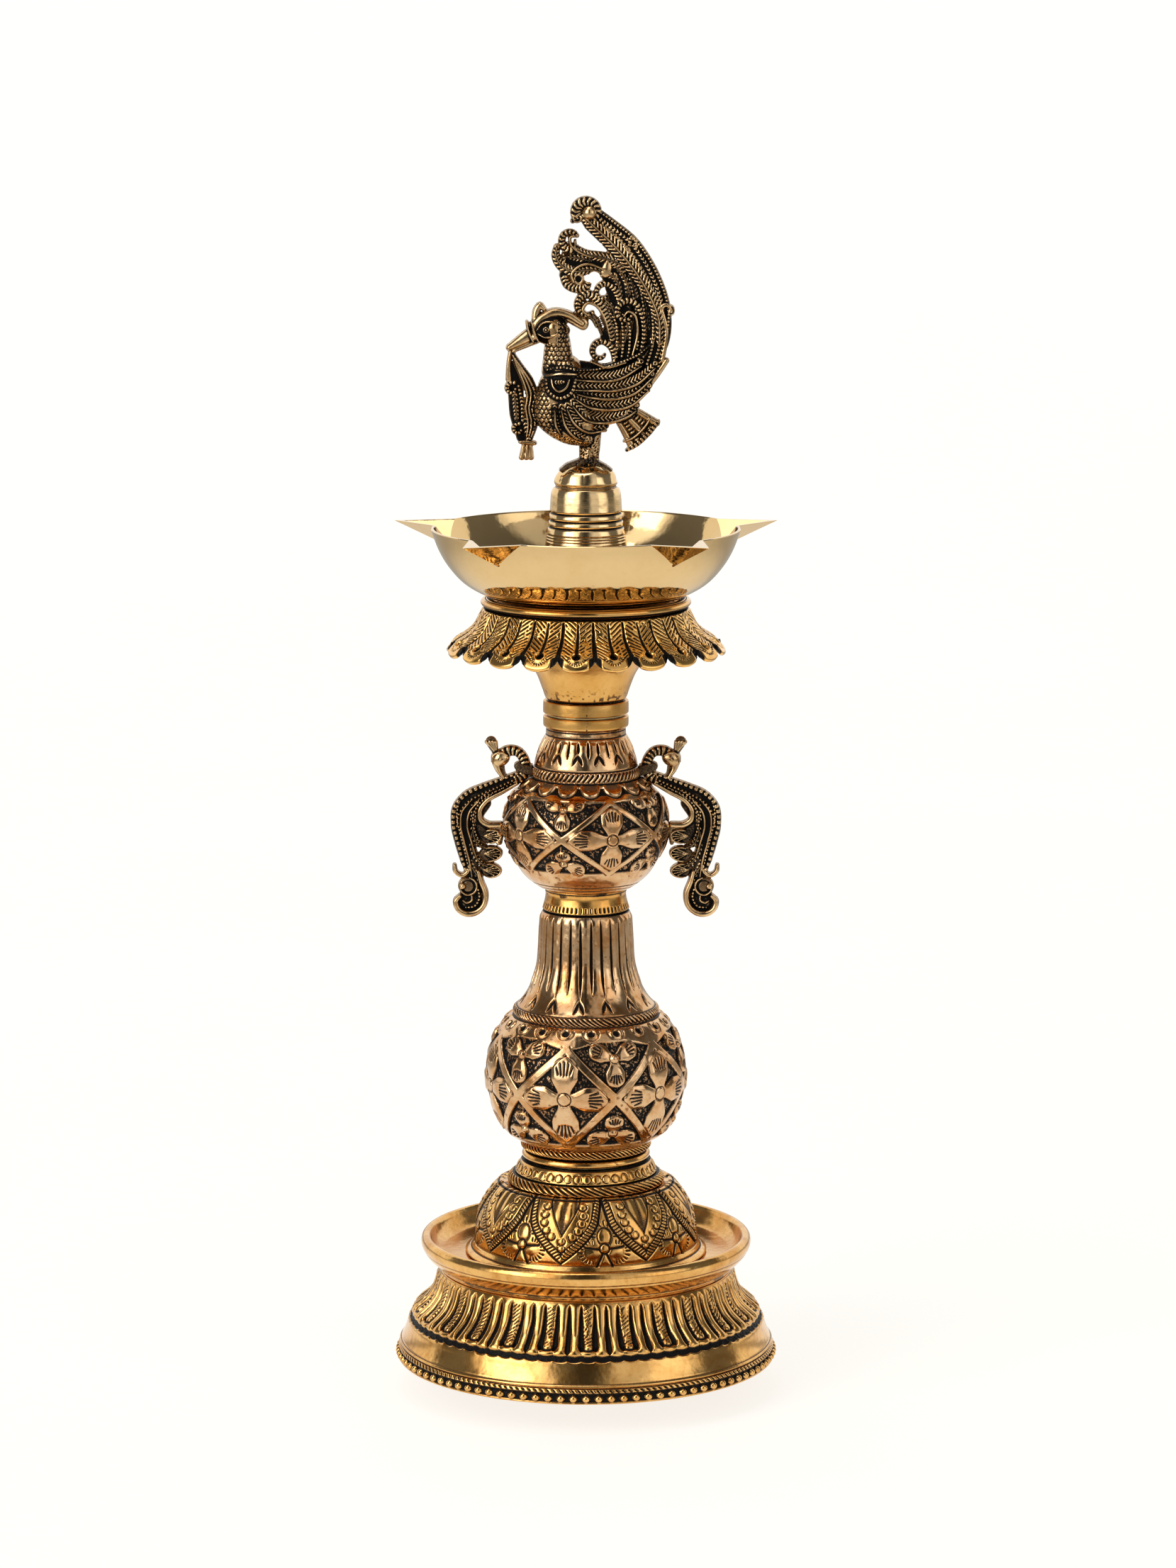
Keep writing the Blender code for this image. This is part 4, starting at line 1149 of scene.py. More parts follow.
def upper_vase_relief(surface):
    run, z = surface.run, surface.z
    neck_cuts(
        surface, first=-10.0, z_top=275.6, z_long=269.6, z_short=268.3, z_vee_top=269.8,
        z_vee_low=266.2, z_end=264.5, width=0.55, seed=201,
    )
    surface.lines(
        (278.9, 0.5, 0.5, 0.95), (276.6, 0.32, 0.5, 0.9), (262.9, 0.32, 0.6, 1.0),
        (258.0, 0.5, 0.75, 1.0), (212.6, 0.4, 0.4, 0.9), (210.9, 0.4, 0.4, 0.9),
    )
    surface.rope(
        count=66, start=surface.run_at(262.4), end=surface.run_at(258.5), slant=0.55,
        depth=0.45, jitter=0.30, seed=207, ink=0.95,
    )
    # shaded lobes under the rope
    centre = surface.run_at(256.4)
    across = surface.around(UPPER_LOBES, math.radians(4.3)) * surface.radius
    outside = np.hypot(across, (run - centre) / 1.12) - TAU / UPPER_LOBES * 28.0 / 2 * 0.86
    rim = bell(outside, 0.42) * (run > centre - 0.4)
    hollow = smooth(-outside, 0.4, 2.6) * smooth(centre + 3.0 - run, 0.0, 3.0)
    gap = smooth(outside, 0.1, 0.6) * smooth(surface.run_at(253.4) - run, 0.0, 0.8)
    gap = gap * (run > centre - 1)
    zone = (z < 258.2) & (z > 249.0)
    surface.add(
        zone * (-0.75 * rim + 0.7 * smooth(-outside, 0, 1.2) - 0.6 * hollow),
        zone * np.maximum(np.maximum(rim, hollow * 0.55), gap * 0.95),
    )
    height, ink = diamond_band(
        surface, count=5, first=18.9, z_mid=235.5, z_top=251.2, z_low=219.6,
        widest=36.0, seed=213, band=1.35, scale=1.0,
    )
    zone = smooth(251.8 - z, 0.0, 0.8) * smooth(z - 215.0, 0.0, 1.0)
    surface.add(height * zone, ink * zone)
    vase_wear(surface, 0.13, cells=(40, 100, 110), seeds=(219, 227, 231))


lathe(
    "upper_vase", ROSE, "stem", columns=660, relief=upper_vase_relief,
    outline=[
        (0.42, [
            (16.4, 279.6), (17.3, 279.5), (17.6, 279), (17.3, 278), (17.5, 276.8),
            (18.1, 275.2), (19.1, 272.8), (20.4, 270), (21.6, 266.8), (22.2, 264.4),
            (22.4, 263.1),
        ]),
        (0.36, [
            (22.4, 263.1), (22.9, 262.4), (23.5, 261.2), (23.7, 259.8), (23.6, 258.6),
            (23.9, 258),
        ]),
        (0.44, [
            (23.9, 258), (25.4, 256.4), (27.8, 254.2), (30.6, 251.8), (33, 248.9),
            (34.6, 245.4), (35.6, 241.4), (36.1, 237.2), (35.9, 233.2), (35, 229.6),
            (33.6, 226), (31.9, 222.8), (30, 219.4), (27.6, 215.8), (25, 213.2),
            (22.4, 211.2), (20.2, 209.8), (18.9, 209.4), (17.6, 209.4),
        ]),
    ],
    back=[
        (6.4, 209.4), (6.4, 221), (25.8, 221), (31, 232), (30.6, 241), (25, 249.4),
        (18.2, 256), (14.6, 266), (5.4, 266), (5.4, 279.6),
    ],
)

# ---------------------------------------------------------------- couplings and neck cone


def coupling_relief(surface):
    """Nearly plain, with one upright scar near the front."""
    surface.waver(0.03, cells=24, size=3.0, seed=251)
    scar = bell(surface.around(1, 0.02) * surface.radius, 0.35) * 0.8
    broken = smooth(surface.noise(cells=60, size=0.8, seed=257), 0.25, 0.6)
    surface.add(-0.08 * scar, scar * broken)


lathe(
    "lower_coupling_ring", SATIN, "stem", columns=360, relief=coupling_relief, sharp=40,
    outline=[
        (0.4, [(16.8, 284.7), (18.05, 284.7)]),
        (0.15, [(18.05, 284.7), (18.45, 284.35)]),
        (0.35, [(18.45, 284.35), (18.5, 282.6), (18.45, 280.9)]),
        (0.2, [(18.45, 280.9), (18.2, 280.2), (17.5, 279.9)]),
    ],
    back=[(5.4, 279.9), (5.4, 284.7)],
)
lathe(
    "upper_coupling_ring", SATIN, "head", columns=360, relief=coupling_relief, sharp=40,
    outline=[
        (0.4, [(17, 291.5), (18, 291.45)]),
        (0.15, [(18, 291.45), (18.4, 291.1)]),
        (0.35, [(18.4, 291.1), (18.5, 289), (18.5, 287.4), (18.5, 286.3)]),
        (0.2, [(18.5, 286.3), (18.1, 285.9), (17.2, 285.9)]),
    ],
    back=[(5.4, 285.9), (5.4, 291.5)],
)


def neck_cone_relief(surface):
    z = surface.z
    surface.waver(0.10, cells=18, size=6.0, seed=261)
    stain = smooth(surface.noise(cells=90, size=1.1, seed=263), 0.55, 0.8)
    surface.add(ink=smooth(293.0 - z, 0.0, 1.0))
    surface.add(ink=stain * smooth(302.0 - z, 0.0, 9.0) * 0.55)


lathe(
    "neck_cone", SATIN, "head", columns=420, relief=neck_cone_relief, fair=1.2,
    outline=[
        (0.5, [
            (38.2, 333.5), (38.8, 332.4), (38.2, 328.6), (36.6, 323.6), (33.4, 318.4),
            (29, 312.8), (25, 308), (22.6, 305), (20.9, 301.8), (19.6, 298.4), (18.5, 295.4),
            (17.8, 293.2), (17.3, 291.8), (16.2, 291.8),
        ]),
    ],
    back=[(14.2, 291.8), (16, 299), (19.4, 306.6), (30.2, 319.6), (35.6, 333.5)],
)

# ---------------------------------------------------------------- feather skirt and its ring

FEATHERS = 20
FIRST_FEATHER = math.radians(-4.6)
HALF_FEATHER = TAU / FEATHERS / 2


def feather_turn(theta):
    """Shifts the feathers: narrower at the front and back, wider at the sides."""
    return (theta + 0.06 * np.sin(2 * theta)) % TAU


def feather_skirt_relief(surface):
    """Pillowed feathers with a stem groove ending in a hole, and herringbone cuts."""
    surface.theta = feather_turn(surface.theta)
    run, radius = surface.run, surface.radius
    length = surface.length - 1.2
    place = np.clip(run / length, 0, 1)
    angle = surface.around(FEATHERS, FIRST_FEATHER)
    share = np.abs(angle) / HALF_FEATHER  # 0 in a feather's middle, 1 in the valley
    across = angle * radius
    off_stem = np.abs(across)
    off_valley = np.abs(surface.around(FEATHERS, FIRST_FEATHER + HALF_FEATHER)) * radius
    pillow = np.sqrt(np.clip(1 - share**2.4, 0, 1)) * smooth(place, 0.0, 0.25)
    surface.add(0.95 * pillow - 0.45)

    # grooves between the feathers and down their stems
    uneven = 0.25 * (surface.noise(cells=200, size=1.5, seed=301) - 0.5)
    valley_width = 0.55 + 0.62 * smooth(place, 0.2, 0.9)
    groove = smooth(valley_width - off_valley + uneven, -0.22, 0.14) * smooth(place, 0.05, 0.14)
    surface.add(-0.9 * groove, groove)
    stem_width = 0.42 + 0.34 * smooth(place, 0.1, 0.7)
    groove = smooth(stem_width - off_stem + uneven * 0.6, -0.20, 0.14)
    groove = groove * smooth(place, 0.10, 0.16) * (place < 0.72)
    surface.add(-0.75 * groove, groove)

    # hole at the end of the stem
    below = run - length * 0.745
    distance = np.hypot(across * 0.95, below)
    hole = smooth(1.75 - distance, -0.25, 0.30)
    surface.add(-2.0 * hole + 0.30 * bell(distance - 2.3, 0.5), hole)

    # herringbone cuts, slanting up and out
    cut = hatch(run / 2.2 + off_stem * 0.38 + 0.28 * uneven, 0.235, 0.11)
    cut = cut * smooth(off_stem - stem_width, 0.30, 0.60)
    cut = cut * smooth(off_valley - valley_width, 0.20, 0.60) * smooth(place, 0.05, 0.12)
    cut = cut * smooth(distance, 3.0, 3.6) * smooth(0.86 - place, 0.0, 0.04)
    cut = cut * smooth(surface.noise(cells=240, size=1.6, seed=307), 0.20, 0.36)
    surface.add(-0.40 * cut, cut)

    # radial ticks round the feather's end
    angle = np.arctan2(across, below)
    tick = hatch(angle / TAU * 24.0 + 0.5, 0.27, 0.15) * (np.abs(angle) < 1.35)
    tick = tick * smooth(distance, 3.35, 3.65) * smooth(4.9 - distance, 0.0, 0.3)
    tick = tick * (off_valley > valley_width)
    surface.add(-0.32 * tick, 0.9 * tick)

    # dark notches in the valleys, dark top edge
    notch = smooth(share, 0.60, 0.76) * smooth(place, 0.76, 0.84)
    surface.add(-0.5 * notch, 0.97 * notch)
    surface.add(ink=smooth(0.075 - place, 0, 0.03))


def feather_skirt_warp(theta, radius, z):
    """Draws the lower edge up and in between the feathers."""
    low = smooth(321.5 - z, 0.0, 9.0)
    share = np.abs(wrap(feather_turn(theta) - FIRST_FEATHER, TAU / FEATHERS)) / HALF_FEATHER
    lift = 1.0 - np.sqrt(np.clip(1.0 - share**2 * 0.985, 0.0, 1.0))
    return radius - low * (1.4 * lift), z + low * (4.6 * lift)


lathe(
    "feather_skirt", SKIRT, "head", columns=1040, relief=feather_skirt_relief,
    warp=feather_skirt_warp,
    outline=[
        (0.32, [
            (42.6, 332), (43.8, 331.95), (44.9, 331.3), (45.5, 329.4), (46.6, 326.6),
            (48.3, 323.8), (50.9, 321.3), (54, 319), (56.8, 316.7), (58.8, 314.4),
            (59.7, 313.1), (59.8, 312.6),
        ]),
        (0.3, [(59.8, 312.6), (59.2, 312), (58.3, 312.2)]),
    ],
    back=[
        (57, 313.6), (55.2, 315.4), (52.6, 317.3), (49.6, 319.4), (46.8, 321.8), (44.6, 324.8),
        (43, 328.2), (41.6, 332),
    ],
)


def skirt_ring_relief(surface):
    """A plain ring, dark along both edges and in one line near the top."""
    run, length = surface.run, surface.length
    surface.waver(0.05, cells=26, size=2.0, seed=337)
    surface.add(ink=0.95 * smooth(1.3 - run, 0.0, 0.4))
    surface.add(ink=0.95 * smooth(0.30 - np.abs(run - 1.75), -0.1, 0.15))
    ragged = 0.15 * surface.noise(cells=120, size=1.0, seed=331)
    surface.add(ink=np.clip(smooth(run, length - 3.9, length - 3.4) - ragged, 0, 1))


lathe(
    "skirt_top_ring", ANTIQUE, "head", columns=420, relief=skirt_ring_relief,
    outline=[
        (0.24, [
            (41.6, 336), (42.6, 335.95), (43.2, 335.5), (43.9, 335.6), (44.8, 335.2),
            (45.3, 334.4), (45.2, 333.5), (44.6, 332.9), (44, 332.5), (43, 332.3), (42, 332.3),
        ]),
    ],
    back=[(40.8, 332.3), (40.4, 334.6), (40.9, 336)],
)

# ---------------------------------------------------------------- oil bowl

SPOUTS = 5
SPOUT_PITCH = TAU / SPOUTS
RIM_Z = 366.0
SPOUT_COLUMNS = 26
WALL_COLUMNS = 58
BOWL_FAIRING = 1.8

# how each side of the bowl runs out into a spout, in mm and radians
Spout = namedtuple("Spout", "keel reach half_angle")  # keel: depth below the rim
SPOUT_OUTSIDE = Spout(keel=10.5, reach=21.0, half_angle=math.radians(12.0))
SPOUT_INSIDE = Spout(keel=9.0, reach=21.0 - 3.4, half_angle=math.radians(12.0) * 0.93)

# (radius, z), from the rim down the outside
BOWL_OUTER_RIM = (66.35, 366)
BOWL_OUTSIDE = [
    (66.62, 365.72), (66.1, 364.2), (65.2, 361.4), (63.9, 358), (62.4, 354.9), (60.6, 351.8),
    (58.5, 348.9), (56.1, 346), (53.4, 343.3), (50.2, 341), (46.4, 338.9), (42.2, 336.9),
    (37.6, 335.2), (30, 334.2), (20, 334), (5.4, 334),
]
# (radius, z), from the middle up the inside
BOWL_INSIDE = [
    (5.4, 337.4), (20, 337.4), (30, 337.7), (36, 338.6), (42, 340.5), (47.6, 343), (52.2, 346),
    (56, 349.4), (59.1, 353), (61.5, 356.8), (63.3, 360.6), (64.5, 363.4), (65.2, 365.7),
]
BOWL_INNER_RIM = (65.45, 366)


def bowl_ring(radius, z, spout):
    """One level of the bowl, running across each spout and then the wall after it."""
    rise = np.clip(1.0 - (RIM_Z - z) / spout.keel, 0.0, 1.0) ** 1.08
    half = spout.half_angle * max(rise, 0.16)
    tip = radius + spout.reach * rise
    side_x, side_y = radius * math.cos(half), radius * math.sin(half)
    ring = []
    for index in range(SPOUTS):
        centre = SPOUT_PITCH / 2 + index * SPOUT_PITCH
        for i in range(SPOUT_COLUMNS):
            share = -1 + 2 * i / SPOUT_COLUMNS
            if rise <= 0.0:
                ring.append((centre + half * share, radius))
                continue
            out = tip * (1 - abs(share)) + side_x * abs(share)
            across = side_y * share
            ring.append((centre + math.atan2(across, out), math.hypot(out, across)))
        for i in range(WALL_COLUMNS):
            angle = centre + half + i / WALL_COLUMNS * (SPOUT_PITCH - 2 * half)
            ring.append((angle, radius))
    theta, radii = np.array(ring).T
    return np.stack([radii * np.sin(theta), -radii * np.cos(theta), np.full_like(radii, z)], 1)


def make_bowl():
    outer = faired(catmull(BOWL_OUTSIDE, 0.7), BOWL_FAIRING)[1:]
    outer = np.vstack([[BOWL_OUTER_RIM, BOWL_OUTSIDE[0]], outer])
    inner = faired(catmull(BOWL_INSIDE, 0.8), BOWL_FAIRING)
    inner = np.vstack([inner, [BOWL_INNER_RIM]])
    rings = [bowl_ring(radius, z, SPOUT_OUTSIDE) for radius, z in outer]
    rings += [bowl_ring(radius, z, SPOUT_INSIDE) for radius, z in inner]
    verts = np.stack(rings)
    rows, columns = verts.shape[:2]
    ink = np.zeros((rows, columns))
    quads = closed_quads(rows, columns)
    mesh = new_mesh("oil_bowl", verts.reshape(-1, 3), quads, ink, sharp=24)
    add_piece("oil_bowl", mesh, POLISHED, "head")


make_bowl()

# ---------------------------------------------------------------- turned cap under the bird


def thimble_relief(surface):
    z = surface.z
    # a few flats round the worn top
    flats = 0.30 * (np.abs(wrap(surface.theta * 7 + 0.6, TAU)) / np.pi - 0.5)
    flats = flats + 0.55 * (surface.noise(cells=9, size=3.5, seed=401) - 0.5)
    surface.add(smooth(z, 385.0, 387.5) * flats)
    surface.lines(
        (384.3, 0.75, 0.75, 0.55), (372.8, 0.48, 0.75, 1.0), (369.7, 0.48, 0.75, 1.0),
        (366.8, 0.48, 0.75, 1.0), (363.4, 0.25, 0.22, 0.6), (362.2, 0.25, 0.2, 0.55),
        (361.0, 0.25, 0.2, 0.5),
    )
    surface.lines(*((359.6 - 0.82 * k, 0.22, 0.05, 0.0) for k in range(26)))
    coarse = surface.noise(cells=13, size=4.0, seed=411)
    small = surface.noise(cells=60, size=0.9, seed=413)
    stain = smooth(0.55 * coarse + 0.45 * small, 0.42, 0.62)
    surface.add(ink=stain * smooth(z, 389.4, 392.4))


lathe(
    "finial_thimble", THIMBLE, "finial", columns=420, relief=thimble_relief,
    outline=[
        (0.30, [
            (2.6, 393.3), (5.4, 393.4), (8, 393), (9.9, 392), (11.5, 390.5), (12.7, 388.8),
            (13.4, 386.8), (13.7, 385), (13.8, 384), (14.3, 383.2), (14.9, 381.6), (15.2, 379),
            (15.4, 375.6), (15.6, 372.8), (15.9, 369.8), (16.3, 366.8), (16.9, 363.6),
            (17.5, 360.2), (18.2, 355), (18.9, 349.6), (19.8, 344.6), (20.6, 341),
            (20.9, 339.2), (20.6, 338.6), (19.6, 338.6),
        ]),
    ],
    back=[(15.8, 338.6), (12.6, 348), (10.8, 355.8), (5.4, 356), (5.4, 370), (2.6, 372)],
)

# ---------------------------------------------------------------- flat castings

BARB_PITCH = 1.36  # mm for each unit of a bar's cuts
KNURL_PITCH = 1.25  # mm for each unit of a bar's knurl


class Casting:
    """A two-sided casting drawn in the XZ plane from tapered bars and lumps.

    Where members meet, the thicker one shows. edge is the distance into the outline and thick
    the half thickness, in mm, on a grid of the given step.
    """

    def __init__(self, x_range, z_range, step):
        self.step = step
        self.x = np.arange(x_range[0], x_range[1] + step, step)
        self.z = np.arange(z_range[0], z_range[1] + step, step)
        self.grid_x, self.grid_z = np.meshgrid(self.x, self.z)
        self.edge = np.full(self.grid_x.shape, -9.0)
        self.thick = np.full(self.grid_x.shape, -1.0)
        self.ink = np.ones(self.grid_x.shape)

    def window(self, points, pad):
        """The part of the grid that holds the points and a margin."""
        x0, z0 = points.min(0) - pad
        x1, z1 = points.max(0) + pad
        i0, i1 = np.searchsorted(self.x, [x0, x1])
        j0, j1 = np.searchsorted(self.z, [z0, z1])
        return slice(j0, j1), slice(i0, i1)

    def lay(self, window, inside, thick, ink):
        """Merges a member into the casting."""
        self.edge[window] = np.maximum(self.edge[window], inside)
        old = self.thick[window]
        take = (inside > -0.02) & (thick > old)
        self.thick[window] = np.where(take, thick, old)
        self.ink[window] = np.where(take, np.clip(ink, 0, 1), self.ink[window])

    def bar(
        self, path, widths, base=0.8, bulge=2.0, cuts=0.0, slant=0.9, depth=0.5, spine=0.0,
        flat=2.2, knurl=0.0, tone=0.0, rim=0.62, ride=None,
    ):
        """A tapered bar along a path of (x, z), with a half width at each point.

        base, bulge  thickness of its edge, and of its rounding above that
        cuts, slant  spacing and slant of its barbs; knurl is the spacing of its cross cuts
        depth        depth of barbs and cross cuts
        spine        half width of a raised rib down its middle
        flat         exponent of the rounding, higher for flatter
        tone, rim    ink all over, and width of the dark rim
        ride         thickness for it to lie on, in place of base
        """
        points = catmull(path, 0.8)
        key = run_length(np.asarray(path, float))
        run = run_length(points)
        window = self.window(points, max(widths) + 0.6)
        x, z = self.grid_x[window], self.grid_z[window]
        nearest = np.full(x.shape, 1e9)
        along = np.zeros(x.shape)
        for i in range(len(points) - 1):
            distance, place = to_segment(x, z, points[i], points[i + 1])
            closer = distance < nearest
            nearest = np.where(closer, distance, nearest)
            along = np.where(closer, run[i] + place * (run[i + 1] - run[i]), along)
        width = np.interp(along / run[-1], key / key[-1], widths)
        inside = width - nearest
        share = np.clip(nearest / np.maximum(width, 0.05), 0, 1)
        rounding = np.clip(1 - share**flat, 0, 1) ** 0.5
        if ride is None:
            thick = base * smooth(inside, 0.0, 0.5) + bulge * rounding
        else:
            thick = ride[window] + bulge * rounding + 0.25
        ink = smooth(rim - inside, 0.0, 0.34) * 0.98 + tone
        clear = smooth(inside, 0.05, 0.30)
        if cuts:
            pitch = cuts * BARB_PITCH
            barb = hatch(along / pitch - nearest * slant / pitch, 0.33, 0.14) * clear
            if spine:
                barb = barb * smooth(nearest - spine, 0.10, 0.40)
                groove = bell(nearest - spine, 0.20)
                thick = thick + 0.45 * smooth(spine - nearest, -0.1, 0.2) - 0.35 * groove
                ink = np.maximum(ink, groove * 0.85)
            thick = thick - depth * barb
            ink = np.maximum(ink, barb * 0.97)
        if knurl:
            cut = hatch(along / (knurl * KNURL_PITCH), 0.30, 0.16) * clear
            thick = thick - depth * cut
            ink = np.maximum(ink, cut * 0.95)
        self.lay(window, inside, thick, ink)

    def lump(self, centre, radii, tilt=0.0, base=0.6, bulge=3.0, ring=0.0, tone=0.0, cup=0.0):
        """A tilted ellipse. ring is the place of a groove in it, cup the depth of a hollow."""
        centre = np.asarray(centre, float)
        window = self.window(np.array([centre]), max(radii) + 0.6)
        x, z = self.grid_x[window] - centre[0], self.grid_z[window] - centre[1]
        angle = math.radians(tilt)
        along = x * math.cos(angle) + z * math.sin(angle)
        across = -x * math.sin(angle) + z * math.cos(angle)
        share = np.hypot(along / radii[0], across / radii[1])
        inside = (1 - share) * min(radii)
        thick = base * smooth(inside, 0.0, 0.4) + bulge * dome(share)
        ink = smooth(0.35 - inside, 0.0, 0.30) * 0.9 + tone
        if ring:
            groove = bell((share - ring) * min(radii), 0.24)
            thick = thick - 0.45 * groove
            ink = np.maximum(ink, groove)
        if cup:
            hollow = smooth(0.62 - share, 0.0, 0.25)
            thick = thick - cup * hollow
            ink = np.maximum(ink, hollow * 0.9)
        self.lay(window, inside, thick, ink)

    def softened(self, sigma, least):
        """The thickness so far, blurred, for other members to ride on."""
        count = int(3 * sigma / self.step)
        kernel = gaussian_kernel(sigma, self.step, count)
        thick = np.maximum(self.thick, least)
        for axis in (1, 0):
            thick = np.apply_along_axis(
                lambda row: np.convolve(np.pad(row, count, "edge"), kernel, "valid"), axis, thick
            )
        return thick

    def engrave(self, height, ink):
        on = self.thick > 0
        self.thick = np.where(on, np.maximum(self.thick + height, 0.35), self.thick)
        self.ink = np.where(on, np.maximum(self.ink, ink), self.ink)

    def cut(self, centre, radius):
        """Cuts a round hole."""
        outside = np.hypot(self.grid_x - centre[0], self.grid_z - centre[1]) - radius
        self.edge = np.minimum(self.edge, outside)
        self.thick = np.where(outside < 0, -1.0, self.thick)

    def filled_cells(self):
        """The grid cells the skin covers, with no two touching only at a corner."""
        inside = self.edge > 0
        cell = inside[:-1, :-1] | inside[1:, :-1] | inside[:-1, 1:] | inside[1:, 1:]
        last = cell.shape[0] - 1
        for _ in range(3):
            pad = np.pad(cell, 1)
            left, right, above = pad[1:-1, :-2], pad[1:-1, 2:], pad[2:, 1:-1]
            corner = (pad[2:, 2:] & ~right) | (pad[2:, :-2] & ~left)
            lone = corner & ~above & cell
            if not lone.any():
                break
            row, column = np.nonzero(lone)
            cell[np.minimum(row + 1, last), column] = True
        return cell

    def build(self, name, body, mirror=1.0):
        """Makes the mesh: a front, a back and walls between. mirror = -1 flips it in X."""
        inside = self.edge > 0
        cell = self.filled_cells()
        pad = np.pad(cell, 1)
        corners = (pad[:-1, :-1], pad[1:, :-1], pad[:-1, 1:], pad[1:, 1:])
        used = np.logical_or.reduce(corners)
        rim = used & ~np.logical_and.reduce(corners)

        # draw the nodes outside the outline back onto it
        slope_z, slope_x = np.gradient(self.edge, self.step)
        slope = np.maximum(np.hypot(slope_x, slope_z), 0.35)
        shift = np.where(used & ~inside, np.clip(-self.edge, 0, 1.2 * self.step), 0.0)
        x = mirror * (self.grid_x + slope_x / slope * shift)[used]
        z = (self.grid_z + slope_z / slope * shift)[used]
        thick = np.where(inside, np.maximum(self.thick, 0.35), 0.30)
        thick = np.where(rim, np.minimum(thick, 0.34), thick)[used]
        verts = np.vstack([np.stack([x, -thick, z], 1), np.stack([x, thick, z], 1)])

        count = int(used.sum())
        front = -np.ones(used.shape, int)
        front[used] = np.arange(count)
        back = np.where(used, front + count, -1)
        j, i = np.nonzero(cell)
        near = [front[j, i], front[j, i + 1], front[j + 1, i + 1], front[j + 1, i]]
        far = [back[j, i], back[j + 1, i], back[j + 1, i + 1], back[j, i + 1]]
        faces = [np.stack(near, 1), np.stack(far, 1)]
        # walls: step to the missing neighbour, then the two corners of that side
        rows, columns = cell.shape
        for dj, di, start, end in (
            (-1, 0, (0, 0), (0, 1)),
            (0, 1, (0, 1), (1, 1)),
            (1, 0, (1, 1), (1, 0)),
            (0, -1, (1, 0), (0, 0)),
        ):
            neighbour = pad[1 + dj : 1 + dj + rows, 1 + di : 1 + di + columns]
            j, i = np.nonzero(cell & ~neighbour)
            first = (j + start[0], i + start[1])
            second = (j + end[0], i + end[1])
            faces.append(np.stack([front[first], back[first], back[second], front[second]], 1))
        faces = np.vstack(faces)
        if mirror < 0:
            faces = faces[:, ::-1]

        # patina stays in the hollows and is worn off the outer edges
        hollow = smooth(self.softened(0.95, 0.5) - self.thick, 0.02, 0.42)
        ink = np.maximum(self.ink, hollow * 0.97)
        ink = (ink * (1.0 - 0.66 * smooth(0.62 - self.edge, 0.0, 0.30)))[used]
        mesh = new_mesh(name, verts, faces, np.concatenate([ink, ink]))
        add_piece(name, mesh, DARK, body)


def spiral(centre, radius, start, turn, shrink, count):
    """Count points of a curl from its outer end, at start degrees, inwards through turn degrees,
    the radius falling to its shrink share."""
    points = []
    for i in range(count):
        t = i / (count - 1)
        angle = math.radians(start + turn * t)
        reach = radius * (1 - (1 - shrink) * t)
        points.append((centre[0] + reach * math.cos(angle), centre[1] + reach * math.sin(angle)))
    return points


# ---------------------------------------------------------------- finial bird

# spine of the plume's backing along the bird's back, and its half widths
PLUME = [(27, 447), (28, 460), (24, 474), (17.5, 486), (9, 495), (3, 501)]
PLUME_WIDTHS = [8.6, 8.2, 7.2, 6, 4.4, 3]

# stems of the plume: x at z = 434.5, 444, 454 and at the top, z of the top, half width
PLUME_STEMS = (
    (11.6, 13.2, 12.8, 9.4, 460, 0.95),
    (14.4, 15.8, 15.4, 13, 466, 0.9),
    (17.2, 18.6, 18.4, 15.6, 458, 0.9),
    (20, 22, 22, 19.4, 470, 0.95),
    (22.6, 25, 25.4, 22.6, 472, 0.95),
    (25.4, 28.2, 28.6, 25.8, 470, 0.95),
    (28, 31.2, 31.2, 28.2, 466, 0.95),
)

# barbs between the stems: x and z of the foot, x and z of the top
PLUME_BARBS = (
    (13.2, 446, 11.4, 462),
    (18.8, 455, 17, 472),
    (22.4, 456, 18.4, 476),
    (26.6, 452, 23.4, 470),
    (29.4, 452, 25.6, 468),
)

# small hatched leaves that fill the webs: path, half width
WEB_LEAVES = (
    ([(15, 466), (13, 472), (9, 476)], 1.8),
    ([(19, 466), (16.6, 473), (12, 479)], 1.7),
    ([(1.6, 480.4), (-3, 481.6), (-7.6, 482.2)], 2.0),
    ([(10.8, 444.6), (9.4, 451), (6.6, 457)], 1.3),
    ([(-1.6, 484.6), (-4.4, 486.6), (-4.6, 489)], 1.1),
    ([(-8.6, 482.4), (-8.8, 478), (-5.6, 476.8)], 1.2),
    ([(4.6, 452.4), (2.6, 456), (0.4, 456.8)], 1.0),
    ([(12.4, 456), (11, 461), (7.4, 465)], 1.5),
    ([(16.6, 446), (17.8, 453), (16.4, 458.6)], 1.4),
    ([(7, 449), (4.6, 455), (2.4, 458.4)], 1.3),
    ([(28.4, 444), (30, 452), (27.6, 462)], 1.6),
    ([(24, 438), (28, 446), (28.6, 452)], 1.5),
)

